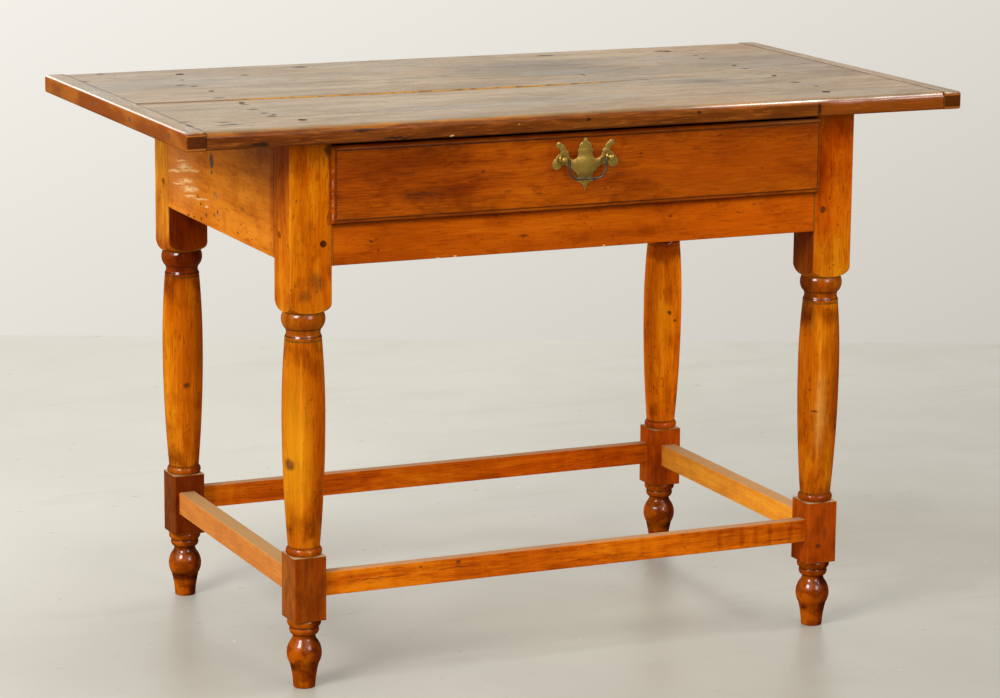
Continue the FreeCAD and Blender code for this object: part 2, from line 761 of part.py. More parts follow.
def turned_leg(name, y):
    """A leg on the right: turned work between two blocks left square, the upper one rounded in below."""
    body = doc.addObject("PartDesign::Body", f"{name}_body")
    turning = sketch_on(body, f"{name}_turning", "XZ_Plane")
    outline(turning, ("0", "0"), LEG_TURNING)
    shaft = body.newObject("PartDesign::Revolution", f"{name}_shaft")
    shaft.Profile = turning
    shaft.ReferenceAxis = (turning, ["V_Axis"])
    shaft.Angle = 360
    for part, side, low, height in (
        ("lower", "lower_square", LOWER_LOW, "lower_height"),
        ("upper", "leg_square", BLOCK_LOW, "block_height"),
    ):
        section = sketch_on(body, f"{name}_{part}", "XY_Plane", low)
        rectangle(section, both_ways(f"({side} / 2)"), both_ways(f"({side} / 2)"))
        pad(body, section, height)

    def on_corner(edge):
        middle = edge.CenterOfMass
        sides = ("lower_square / 2", "leg_square / 2")
        return runs(edge, "z") and any(near(abs(middle.x), s) and near(abs(middle.y), s) for s in sides)

    round_edges(body, "arris_round", on_corner)
    rounding = sketch_on(body, f"{name}_rounding", "XZ_Plane")
    face_radius = "(leg_square / 2 - crease)"
    corner_radius = f"(leg_square * {HALF_DIAGONAL})"
    clear_radius = f"({corner_radius} + block_round)"
    outline(rounding, (face_radius, BLOCK_LOW), [
        (
            (
                f"{face_radius} + ({corner_radius} - {face_radius}) * {ROUNDING_ACROSS}",
                f"{BLOCK_LOW} + block_round * {ROUNDING_UP}",
            ),
            (corner_radius, f"{BLOCK_LOW} + block_round"),
        ),
        ((clear_radius, f"{BLOCK_LOW} + block_round"),),
        ((clear_radius, BLOCK_LOW),),
        ((face_radius, BLOCK_LOW),),
    ])
    groove = body.newObject("PartDesign::Groove", f"{name}_corners")
    groove.Profile = rounding
    groove.ReferenceAxis = (rounding, ["V_Axis"])
    groove.Angle = 360
    body.setExpression("Placement.Base.x", linked(LEG_X))
    body.setExpression("Placement.Base.y", linked(y))
    return body


leg_holes = [end_apron_seat, end_stretcher_seat, end_peg_holes, top_peg_holes]
for place, y, holes in (
    ("front", f"-{LEG_Y}", [drawer_rail_seat, rail_peg_holes]),
    ("back", LEG_Y, [back_apron_seat, back_peg_holes]),
):
    leg = turned_leg(f"leg_{place}", y)
    right = keep(cut(f"leg_{place}_right", leg, leg_holes + holes + [long_seats[place]]))
    keep(mirrored(f"leg_{place}_left", right))

# Strips beside and above the drawer

strip_run = both_ways(f"({BAY_Y} - strip_end_gap)")
guide = block(
    "guide_stock",
    (guide_nail_head, APRON_IN_X), strip_run, (RAIL_TOP, f"{RAIL_TOP} + guide_height"),
)
guide = keep(cut("drawer_guide_right", guide, [guide_nail_holes]))
keep(mirrored("drawer_guide_left", guide))
kicker = block(
    "kicker_stock",
    (f"{SIDE_IN_X} - kicker_inside", APRON_IN_X), strip_run, (KICKER_LOW, UNDERSIDE),
)
kicker = keep(cut("drawer_kicker_right", kicker, [kicker_nail_holes]))
keep(mirrored("drawer_kicker_left", kicker))


# Drawer

def tail(name, tip, root, level, gap):
    """A dovetail on the right-hand side, wide at its tip, with a clearance all round for its socket."""
    piece = doc.addObject("Part::Wedge", name)
    flip = value(tip) > value(root)
    half = f"(tail_width / 2 + {gap})"
    wide = f"(tail_width / 2 + tail_flare + {gap})"
    near_half, far_half = (half, wide) if flip else (wide, half)
    low, high = (root, f"{tip} + {gap}") if flip else (f"{tip} - {gap}", root)
    for bound, text in (("Ymin", low), ("Ymax", high)):
        piece.setExpression(bound, linked(text))
    for bound, text in (("Xmin", f"{SIDE_IN_X} - {gap}"), ("Xmax", f"{DRAWER_X} + {gap}")):
        piece.setExpression(bound, linked(text))
        piece.setExpression(bound.replace("X", "X2"), linked(text))
    for bound, sign in (("Zmin", "-"), ("Zmax", "+")):
        piece.setExpression(bound, linked(f"{level} {sign} {near_half}"))
        piece.setExpression(bound.replace("Z", "Z2"), linked(f"{level} {sign} {far_half}"))
    return piece


FRONT_TAILS = 3
BACK_TAILS = 2
side_height = f"({SIDE_TOP} - {DRAWER_BASE})"
front_levels = [f"({DRAWER_BASE} + {side_height} * {n + 0.5} / {FRONT_TAILS})" for n in range(FRONT_TAILS)]
back_height = f"({SIDE_TOP} - back_drop - {PANEL_TOP})"
back_levels = [f"({PANEL_TOP} + {back_height} * {n + 0.5} / {BACK_TAILS})" for n in range(BACK_TAILS)]
tail_places = {
    "front": (f"{FRONT_BACK} - tail_length", FRONT_BACK, front_levels),
    "back": (DRAWER_END, BACK_FACE, back_levels),
}


def tails(name, end, gap):
    """All the dovetails at one end of the right-hand side."""
    tip, root, levels = tail_places[end]
    return [tail(f"{name}_{end}_{n}", tip, root, level, gap) for n, level in enumerate(levels)]


side_faces = (SIDE_IN_X, DRAWER_X)
side_board = board("drawer_side", "y", side_faces, (FRONT_BACK, BACK_FACE), (DRAWER_BASE, SIDE_TOP))
side_foot = block("drawer_side_foot", side_faces, (BACK_FACE, DRAWER_END), (DRAWER_BASE, PANEL_TOP))
side_groove = block(
    "drawer_side_groove",
    (f"{SIDE_IN_X} - groove_depth", f"{SIDE_IN_X} + groove_depth"),
    (FRONT_BACK, f"{DRAWER_END} + back_thick"),
    (GROOVE_LOW, PANEL_TOP),
)
side_stock = joined(
    "drawer_side_tailed",
    [side_board, side_foot] + tails("side_tail", "front", "0") + tails("side_tail", "back", "0"),
)
drawer_side = keep(cut("drawer_side_right", side_stock, [side_groove]))
keep(mirrored("drawer_side_left", drawer_side))

back_sockets = grouped("back_sockets", tails("back_socket", "back", "fit_gap"))
back_stock = block(
    "drawer_back_stock",
    both_ways(DRAWER_X), (BACK_FACE, DRAWER_END), (PANEL_TOP, f"{SIDE_TOP} - back_drop"),
)
keep(cut("drawer_back", back_stock, [
    back_sockets, mirrored("back_sockets_left", back_sockets), bottom_nail_holes,
]))

panel_x = f"({SIDE_IN_X} + groove_depth - fit_gap)"
panel_edge = block(
    "panel_edge",
    both_ways(panel_x), (f"{FRONT_BACK} + fit_gap", DRAWER_END),
    (f"{GROOVE_LOW} + fit_gap", PANEL_TOP),
)
panel_nose = block(
    "panel_nose",
    both_ways(f"({SIDE_IN_X} - fit_gap)"),
    (f"{FRONT_BACK} - groove_depth + fit_gap", f"{FRONT_BACK} + groove_depth"),
    (f"{GROOVE_LOW} + fit_gap", PANEL_TOP),
)
panel_field = block(
    "panel_field",
    both_ways(f"({SIDE_IN_X} - panel_margin)"), (f"{FRONT_BACK} + panel_margin", DRAWER_END),
    (f"{PANEL_TOP} - panel_thick", PANEL_TOP),
)
panel = joined("drawer_panel", [panel_edge, panel_nose, panel_field])
keep(cut("drawer_bottom", panel, [bottom_nail_holes]))


def drawer_front():
    """The lipped front: a raised field, a thumbnail moulding round it and the part that fits the opening."""
    body = doc.addObject("PartDesign::Body", "drawer_front_body")
    lip = sketch_on(body, "front_lip", "XZ_Plane", f"-{LIP_BACK}")
    rectangle(lip, both_ways(LIP_X), (LIP_BOTTOM, LIP_TOP))
    pad(body, lip, "front_proud - lip_gap - field_step")
    moulding_face = f"({FRONT_FACE} + field_step)"

    def on_moulding(edge):
        return all(near(vertex.Y, moulding_face) for vertex in edge.Vertexes)

    round_edges(body, "moulding_round", on_moulding)
    field = sketch_on(body, "front_field", "XZ_Plane", f"-{LIP_BACK}")
    field_levels = (f"{LIP_BOTTOM} + field_set", f"{LIP_TOP} - field_set")
    rectangle(field, both_ways(f"({LIP_X} - field_set)"), field_levels)
    pad(body, field, "front_proud - lip_gap")

    def on_field(edge):
        return all(near(vertex.Y, FRONT_FACE) for vertex in edge.Vertexes)

    round_edges(body, "field_step / 2", on_field)
    rebate = sketch_on(body, "front_rebate", "XZ_Plane", f"-{FRONT_BACK}")
    rectangle(rebate, both_ways(DRAWER_X), (DRAWER_BASE, f"{LIP_TOP} - lip_drop"))
    pad(body, rebate, "front_thick - front_proud + lip_gap + field_step")
    return body


front_sockets = grouped("front_sockets", tails("front_socket", "front", "fit_gap"))
front_groove = block(
    "front_groove",
    both_ways(SIDE_IN_X),
    (f"{FRONT_BACK} - groove_depth", f"{FRONT_BACK} + groove_depth"),
    (GROOVE_LOW, PANEL_TOP),
)
post_bore = rod(
    "post_bore", "y",
    (f"{PLATE_FACE} - plate_thick", f"{FRONT_BACK} + nut_thick * 2"),
    (POST_X, HANDLE_Z),
    "post_radius + peg_gap",
)
post_bores = grouped("post_bores", [post_bore, mirrored("post_bore_left", post_bore)])
keep(cut("drawer_front", drawer_front(), [
    front_sockets, mirrored("front_sockets_left", front_sockets), front_groove, post_bores,
]))

# Handle

# Right half of the bat-wing plate, from the finial at its top down to the tip of its foot,
# in millimetres from the middle of a 62 mm boring.
PATTERN_BORING = 62
PLATE_TOP = (0, 23.3)
PLATE_HALF = [
    ((3.0, 20.6), (2.3, 18.5)),
    ((6.3, 17.3), (8.2, 13.8)),
    ((8.2, 11.0), (10.7, 9.0)),
    ((9.0, 6.2), (9.2, 3.2)),
    ((15.6, -2.0), (21.9, 3.2)),
    ((22.6, 5.8), (22.3, 8.6)),
    ((24.6, 9.4), (26.3, 12.2)),
    ((28.0, 15.6), (31.0, 17.6)),
    ((35.8, 20.0), (38.8, 16.4)),
    ((37.6, 14.2), (35.2, 13.6)),
    ((32.8, 10.6), (33.4, 5.8)),
    ((39.2, 1.4), (43.4, -5.6)),
    ((39.2, -12.6), (32.0, -10.0)),
    ((29.4, -7.6), (25.4, -8.8)),
    ((18.8, -11.4), (14.0, -16.2)),
    ((11.4, -18.4), (9.4, -22.4)),
    ((8.8, -25.4), (10.8, -28.8)),
    ((5.6, -30.4), (2.8, -33.4)),
    ((0, -39.5),),
]


def on_pattern(point, side=1):
    """A point of the plate's pattern, scaled to the boring, on the right or the left of the middle."""
    x, z = point
    scale = f"handle_boring / {PATTERN_BORING}"
    return f"{side * x} * {scale}", f"{HANDLE_Z} + {z} * {scale}"


def plate_outline():
    """Both halves of the plate's outline: down the right side and up the left."""
    right = [tuple(on_pattern(point) for point in move) for move in PLATE_HALF]
    starts = [PLATE_TOP] + [move[-1] for move in PLATE_HALF[:-1]]
    left = []
    for start, move in zip(reversed(starts), reversed(PLATE_HALF)):
        left.append(tuple(on_pattern(point, -1) for point in (*move[:-1], start)))
    return right + left


plate_body = doc.addObject("PartDesign::Body", "handle_plate_body")
plate_sketch = sketch_on(plate_body, "plate_pattern", "XZ_Plane", f"-{FRONT_FACE}")
outline(plate_sketch, on_pattern(PLATE_TOP), plate_outline())
pad(plate_body, plate_sketch, "plate_thick")
keep(cut("handle_plate", plate_body, [post_bores]))

ball = doc.addObject("Part::Sphere", "post_ball")
ball.setExpression("Radius", linked("ball_head"))
for axis, text in zip("xyz", (POST_X, PIVOT_Y, HANDLE_Z)):
    ball.setExpression(f"Placement.Base.{axis}", linked(text))
post_at = (POST_X, HANDLE_Z)
post_solids = [
    ball,
    rod("post_neck", "y", (PIVOT_Y, PLATE_FACE), post_at, "post_neck_radius"),
    rod("post_collar", "y", (f"{PLATE_FACE} - post_collar_thick", PLATE_FACE), post_at, "post_collar_radius"),
    rod("post_shank", "y", (PIVOT_Y, f"{FRONT_BACK} + nut_thick + post_tail"), post_at, "post_radius"),
]
pintle_hole = rod(
    "pintle_hole", "x",
    (f"{POST_X} - 2 * ball_head", f"{POST_X} + pintle_reach + fit_gap"),
    (PIVOT_Y, HANDLE_Z),
    "bail_radius + pintle_gap",
)
post = keep(cut("handle_post_right", joined("post_solid", post_solids), [pintle_hole]))
keep(mirrored("handle_post_left", post))

nut_stock = block(
    "nut_stock",
    (f"{POST_X} - nut_square / 2", f"{POST_X} + nut_square / 2"),
    (FRONT_BACK, f"{FRONT_BACK} + nut_thick"),
    (f"{HANDLE_Z} - nut_square / 2", f"{HANDLE_Z} + nut_square / 2"),
)
nut = cut("nut_right", nut_stock, [post_bore])
keep(grouped("handle_nuts", [nut, mirrored("nut_left", nut)]))


def swinging_bail():
    """The bail: a round bar from pintle to pintle, hanging between the two posts."""
    body = doc.addObject("PartDesign::Body", "bail")
    path = sketch_on(body, "bail_path", "XZ_Plane", f"-{PIVOT_Y}")
    end = f"({POST_X} + pintle_reach)"
    arm = f"({POST_X} - ball_head - bail_side_gap - bail_radius)"
    low = f"({HANDLE_Z} - bail_drop)"
    shoulder = f"({arm} + bail_bend)"
    inset = f"({arm} - bail_corner)"
    bend_in = f"bail_bend * {QUARTER}"
    corner_in = f"bail_corner * {QUARTER}"
    outline(path, (f"-{end}", HANDLE_Z), [
        ((f"-{shoulder}", HANDLE_Z),),
        ((f"-{arm} - {bend_in}", f"{HANDLE_Z} - {bend_in}"), (f"-{arm}", f"{HANDLE_Z} - bail_bend")),
        ((f"-{arm}", f"{low} + bail_corner"),),
        ((f"-{arm} + {corner_in}", f"{low} + {corner_in}"), (f"-{inset}", low)),
        ((inset, low),),
        ((f"{arm} - {corner_in}", f"{low} + {corner_in}"), (arm, f"{low} + bail_corner")),
        ((arm, f"{HANDLE_Z} - bail_bend"),),
        ((f"{arm} + {bend_in}", f"{HANDLE_Z} - {bend_in}"), (shoulder, HANDLE_Z)),
        ((end, HANDLE_Z),),
    ], closed=False)
    section = sketch_on(body, "bail_section", "YZ_Plane", f"-{end}")
    centre = FreeCAD.Vector(value(PIVOT_Y), value(HANDLE_Z), 0)
    bar = section.addGeometry(Part.Circle(centre, AXES["z"], value("bail_radius")))
    pin(section, bar, 3, (PIVOT_Y, HANDLE_Z))
    rule = section.addConstraint(Sketcher.Constraint("Radius", bar, value("bail_radius")))
    section.setExpression(f"Constraints[{rule}]", linked("bail_radius"))
    doc.recompute()
    pipe = body.newObject("PartDesign::AdditivePipe", "bail_bar")
    pipe.Profile = section
    pipe.Spine = path
    return body


keep(swinging_bail())

doc.recompute()
failed = [piece.Label for piece in doc.Objects if {"Invalid", "Error"} & set(piece.State)]
if failed:
    raise RuntimeError(f"not recomputed: {failed}")
for piece in subparts:
    if piece.Shape.isNull() or not piece.Shape.isValid() or not piece.Shape.Solids:
        raise RuntimeError(f"no sound solid in {piece.Label}")

os.makedirs("parts", exist_ok=True)
for piece in subparts:
    piece.Shape.exportStep(f"parts/{piece.Label}.step")
    print(f"{piece.Label}: {len(piece.Shape.Solids)} solid(s), {piece.Shape.Volume / 1000:.2f} cm3")
print(f"{len(subparts)} sub-parts")
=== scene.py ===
import math

import bpy
from mathutils import Matrix, Vector


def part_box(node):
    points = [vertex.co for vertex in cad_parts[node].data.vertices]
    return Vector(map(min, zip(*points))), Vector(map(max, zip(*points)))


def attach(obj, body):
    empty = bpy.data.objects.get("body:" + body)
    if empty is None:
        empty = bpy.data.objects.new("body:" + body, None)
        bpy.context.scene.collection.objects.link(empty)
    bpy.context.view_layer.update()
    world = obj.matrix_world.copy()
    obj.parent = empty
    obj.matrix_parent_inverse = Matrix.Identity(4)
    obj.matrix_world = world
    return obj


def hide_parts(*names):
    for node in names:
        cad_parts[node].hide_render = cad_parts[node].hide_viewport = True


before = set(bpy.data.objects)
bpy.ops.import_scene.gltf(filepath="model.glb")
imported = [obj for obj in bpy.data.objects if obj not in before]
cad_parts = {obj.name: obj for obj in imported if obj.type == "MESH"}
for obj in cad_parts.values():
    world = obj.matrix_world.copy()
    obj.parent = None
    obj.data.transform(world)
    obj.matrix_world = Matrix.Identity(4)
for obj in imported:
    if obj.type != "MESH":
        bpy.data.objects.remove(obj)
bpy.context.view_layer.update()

MM = 0.001

# Camera, light and floor

YAW = 0.4225365
PITCH = -0.2079378
ROLL = 0.0088401
CAMERA_PLACE = Vector((-1.77489, -3.95815, 1.25908))
LENS = 124.86
FLOOR_FAR = 6.05
FLOOR_DEPTH = 12
FLOOR_HALF = 9
WALL_LEAN = (-0.455, 0.499, 1.27)
WALL_TONES = ((0.41, 0.375, 0.32), (1.07, 1.05, 0.99))
WARM_WHITE = (1, 0.98, 0.95)


def place_camera():
    """A long lens in front of the table and to its left, a little above the top."""
    ahead = Vector((math.sin(YAW) * math.cos(PITCH), math.cos(YAW) * math.cos(PITCH), math.sin(PITCH)))
    level = Vector((math.cos(YAW), -math.sin(YAW), 0))
    above = level.cross(ahead)
    right = level * math.cos(ROLL) + above * math.sin(ROLL)
    up = above * math.cos(ROLL) - level * math.sin(ROLL)
    data = bpy.data.cameras.new("studio_camera")
    data.lens = LENS
    data.sensor_width = 36
    data.clip_end = 60
    camera = bpy.data.objects.new("studio_camera", data)
    camera.matrix_world = Matrix((
        (right.x, up.x, -ahead.x, CAMERA_PLACE.x),
        (right.y, up.y, -ahead.y, CAMERA_PLACE.y),
        (right.z, up.z, -ahead.z, CAMERA_PLACE.z),
        (0, 0, 0, 1),
    ))
    bpy.context.scene.collection.objects.link(camera)
    bpy.context.scene.camera = camera


def soft_light(name, place, target, size, power, colour=WARM_WHITE):
    """A large square soft light aimed at a point."""
    data = bpy.data.lights.new(name, "AREA")
    data.size = size
    data.energy = power
    data.color = colour
    light = bpy.data.objects.new(name, data)
    light.location = place
    light.rotation_mode = "QUATERNION"
    light.rotation_quaternion = (Vector(target) - Vector(place)).to_track_quat("-Z", "Y")
    light.visible_camera = False
    bpy.context.scene.collection.objects.link(light)


class Nodes:
    """A node tree and the small set of nodes that its patterns are mixed from."""

    def __init__(self, tree):
        self.tree = tree

    def feed(self, socket, value):
        if isinstance(value, bpy.types.NodeSocket):
            self.tree.links.new(value, socket)
        elif socket.type == "RGBA" and len(value) == 3:
            socket.default_value = (*value, 1)
        else:
            socket.default_value = value

    def node(self, kind, inputs=None, **settings):
        """A new node with its settings made and some of its inputs fed."""
        made = self.tree.nodes.new(kind)
        for key, value in settings.items():
            setattr(made, key, value)
        for key, value in (inputs or {}).items():
            self.feed(made.inputs[key], value)
        return made

    def math(self, operation, a, b=0.0):
        return self.node("ShaderNodeMath", {0: a, 1: b}, operation=operation).outputs[0]

    def times(self, a, b):
        return self.math("MULTIPLY", a, b)

    def plus(self, a, b):
        return self.math("ADD", a, b)

    def vector(self, operation, a, b=(0, 0, 0), output="Vector"):
        return self.node("ShaderNodeVectorMath", {0: a, 1: b}, operation=operation).outputs[output]

    def agreement(self, a, b):
        """The dot product: how far two directions agree, or how far a place lies along one."""
        return self.vector("DOT_PRODUCT", a, b, output="Value")

    def scaled(self, a, share):
        return self.node("ShaderNodeVectorMath", {0: a, "Scale": share}, operation="SCALE").outputs["Vector"]

    def axes(self, vector):
        return self.node("ShaderNodeSeparateXYZ", {0: vector}).outputs[:]

    def remap(self, value, low, high, to_low=0.0, to_high=1.0):
        inputs = dict(enumerate((value, low, high, to_low, to_high)))
        return self.node("ShaderNodeMapRange", inputs, interpolation_type="SMOOTHSTEP").outputs[0]

    def mapped(self, vector, scale, shift=(0, 0, 0), turn=(0, 0, 0)):
        inputs = {"Vector": vector, "Location": shift, "Rotation": turn, "Scale": scale}
        return self.node("ShaderNodeMapping", inputs).outputs[0]

    def noise(self, vector, scale, detail=2.0, roughness=0.5, output="Fac"):
        inputs = {"Vector": vector, "Scale": scale, "Detail": detail, "Roughness": roughness}
        return self.node("ShaderNodeTexNoise", inputs).outputs[output]

    def ramp(self, value, stops):
        made = self.node("ShaderNodeValToRGB", {0: value})
        elements = made.color_ramp.elements
        while len(elements) < len(stops):
            elements.new(0.5)
        for element, (position, colour) in zip(elements, stops):
            element.position = position
            element.color = (*colour, 1)
        return made.outputs[0]


class Finish(Nodes):
    """A material, and the masks that its colours are laid on by."""

    def __init__(self, name):
        self.material = bpy.data.materials.new(name)
        self.material.use_nodes = True
        super().__init__(self.material.node_tree)
        self.shader = self.tree.nodes["Principled BSDF"]
        self.place = self.node("ShaderNodeTexCoord").outputs["Object"]
        self.normal = self.node("ShaderNodeNewGeometry").outputs["Normal"]

    def cover(self, colour, share, masks, blend):
        """Blends a colour with what is there so far, where all the masks meet."""
        mask = masks[0]
        for more in masks[1:]:
            mask = self.times(mask, more)
        inputs = {0: self.times(mask, share), 6: self.colour, 7: colour}
        self.colour = self.node("ShaderNodeMix", inputs, data_type="RGBA", blend_type=blend).outputs[2]

    def stain(self, colour, share, *masks):
        """Lays a colour on, where all the masks meet."""
        self.cover(colour, share, masks, "MIX")

    def tint(self, colour, share, *masks):
        """Multiplies by a colour where all the masks meet, so the pattern below still shows."""
        self.cover(colour, share, masks, "MULTIPLY")

    def wobbled(self, amount, scale):
        """The place on the piece, shaken by noise, so that patterns bend and marks get ragged rims."""
        shake = self.vector("SUBTRACT", self.noise(self.place, scale, output="Color"), (0.5, 0.5, 0.5))
        return self.vector("ADD", self.place, self.scaled(shake, amount))

    def spot(self, vector, centre, reach, soft=0.5):
        """A mask that is 1 inside an oval round a point and falls off over the soft part of its reach."""
        away = self.vector("DIVIDE", self.vector("SUBTRACT", vector, centre), reach)
        length = self.vector("LENGTH", away, output="Value")
        return self.remap(length, 1 - soft, 1, 1, 0)

    def band(self, coordinate, level, half):
        """A mask that is 1 on a level and falls to 0 at half the band's width from it."""
        away = self.math("ABSOLUTE", self.math("SUBTRACT", coordinate, level))
        return self.remap(away, 0, half, 1, 0)

    def arris(self, radius):
        """A mask of the edges, where a rounded normal leaves the true one."""
        bevel = self.node("ShaderNodeBevel", {"Radius": radius}, samples=6)
        return self.remap(self.agreement(bevel.outputs[0], self.normal), 0.99, 0.82)

    def leaned(self, vector, slope):
        """The place with its height sheared along y, for marks that run askew on an end face."""
        rise = self.node("ShaderNodeCombineXYZ", {2: self.times(self.axes(vector)[1], slope)})
        return self.vector("ADD", vector, rise.outputs[0])

    def strongest(self, masks):
        total = masks[0]
        for mask in masks[1:]:
            total = self.math("MAXIMUM", total, mask)
        return total

    def bump(self, height, distance):
        made = self.node("ShaderNodeBump", {"Distance": distance, "Height": height})
        self.feed(self.shader.inputs["Normal"], made.outputs[0])

    def surface(self, roughness, **sockets):
        self.feed(self.shader.inputs["Base Color"], self.colour)
        self.feed(self.shader.inputs["Roughness"], roughness)
        for name, value in sockets.items():
            self.feed(self.shader.inputs[name.replace("_", " ")], value)
        return self.material


def lay_floor():
    """A pale polished floor that ends where the wall of the studio begins."""
    ahead = Vector((math.sin(YAW), math.cos(YAW), 0))
    side = Vector((math.cos(YAW), -math.sin(YAW), 0))
    far = Vector((CAMERA_PLACE.x, CAMERA_PLACE.y, 0)) + ahead * FLOOR_FAR
    bpy.ops.object.select_all(action="DESELECT")
    bpy.ops.mesh.primitive_plane_add(size=2)
    floor = bpy.context.object
    floor.name = "studio_floor"
    corners = [far + side * FLOOR_HALF * s - ahead * depth for depth in (FLOOR_DEPTH, 0) for s in (-1, 1)]
    for vertex, corner in zip(floor.data.vertices, corners):
        vertex.co = corner
    finish = Finish("studio_floor")
    mottle = finish.noise(finish.place, 1.6, detail=4, roughness=0.6)
    scuff = finish.noise(finish.place, 9, detail=3)
    tone = finish.plus(finish.times(mottle, 0.7), finish.times(scuff, 0.3))
    finish.colour = finish.ramp(tone, [(0.35, (0.430, 0.420, 0.378)), (0.65, (0.488, 0.481, 0.440))])
    aside = finish.agreement(finish.place, (0.9, -0.35, 0))
    nearer = finish.agreement(finish.place, ahead)
    swept = finish.mapped(finish.place, (0.5, 3, 1), turn=(0, 0, 0.5))
    drags = finish.noise(swept, 5, detail=4, roughness=0.7)
    grit = finish.noise(finish.mapped(finish.place, (1, 2, 1)), 46, detail=2)
    chalk = finish.noise(finish.mapped(finish.place, (2, 1, 1), (3, 5, 0)), 52, detail=2)
    # Painted shade: the floor darkens to the right and towards the camera. A painted shadow of the table lies
    # to its right, and painted light brightens the floor under its middle.
    finish.tint((0.72, 0.71, 0.69), 1.0, finish.remap(aside, -0.5, 1.5))
    finish.tint((0.82, 0.82, 0.80), 1.0, finish.remap(nearer, 0.25, -0.30))
    finish.tint((0.87, 0.86, 0.84), 1.0, finish.remap(aside, 0.2, 1.0), finish.remap(nearer, 0.9, -0.1))
    finish.tint((0.80, 0.79, 0.73), 1.0, finish.spot(finish.place, (0.74, 0.10, 0), (0.40, 0.50, 1), 0.9))
    finish.tint((1.12, 1.14, 1.10), 1.0, finish.spot(finish.place, (0.04, -0.08, 0), (0.32, 0.26, 1), 0.9))
    finish.tint((0.86, 0.86, 0.85), 0.5, finish.remap(drags, 0.54, 0.70))
    finish.stain((0.10, 0.095, 0.085), 0.45, finish.remap(grit, 0.70, 0.77))
    finish.stain((0.75, 0.74, 0.70), 0.5, finish.remap(chalk, 0.74, 0.80))
    finish.surface(finish.remap(scuff, 0.3, 0.7, 0.32, 0.42), Specular_IOR_Level=0.35)
    floor.data.materials.append(finish.material)


def light_wall():
    """The pale wall all round, brightest high on the left and behind the table."""
    world = bpy.data.worlds.new("studio_wall")
    world.use_nodes = True
    wall = Nodes(world.node_tree)
    place = wall.node("ShaderNodeTexCoord").outputs["Generated"]
    spread = wall.node("ShaderNodeMapRange", {0: wall.agreement(place, WALL_LEAN), 1: -0.30, 2: 0.40})
    colour = wall.ramp(spread.outputs[0], list(enumerate(WALL_TONES)))
    wall.feed(wall.tree.nodes["Background"].inputs["Color"], colour)
    bpy.context.scene.world = world


place_camera()
lay_floor()
light_wall()
bpy.context.scene.view_settings.view_transform = "Standard"
soft_light("left_light", (-2.9, -1.6, 2.3), (0, 0, 0.35), 1.3, 100, (1, 0.97, 0.92))
soft_light("over_light", (1.95, -0.70, 3.4), (0.3, 0, 0.6), 0.8, 26)
soft_light("front_light", (0.9, -3.8, 1.9), (0, 0, 0.35), 1.4, 36)
soft_light("edge_light", (1.99, -2.36, 2.45), (0.40, -0.27, 0.68), 0.5, 3)
soft_light("back_light", (-0.5, 3.0, 1.64), (-0.5, 0, 0.68), 1.2, 12)

# Woods

GRAIN_AXIS = {"x": 0, "y": 1, "z": 2}


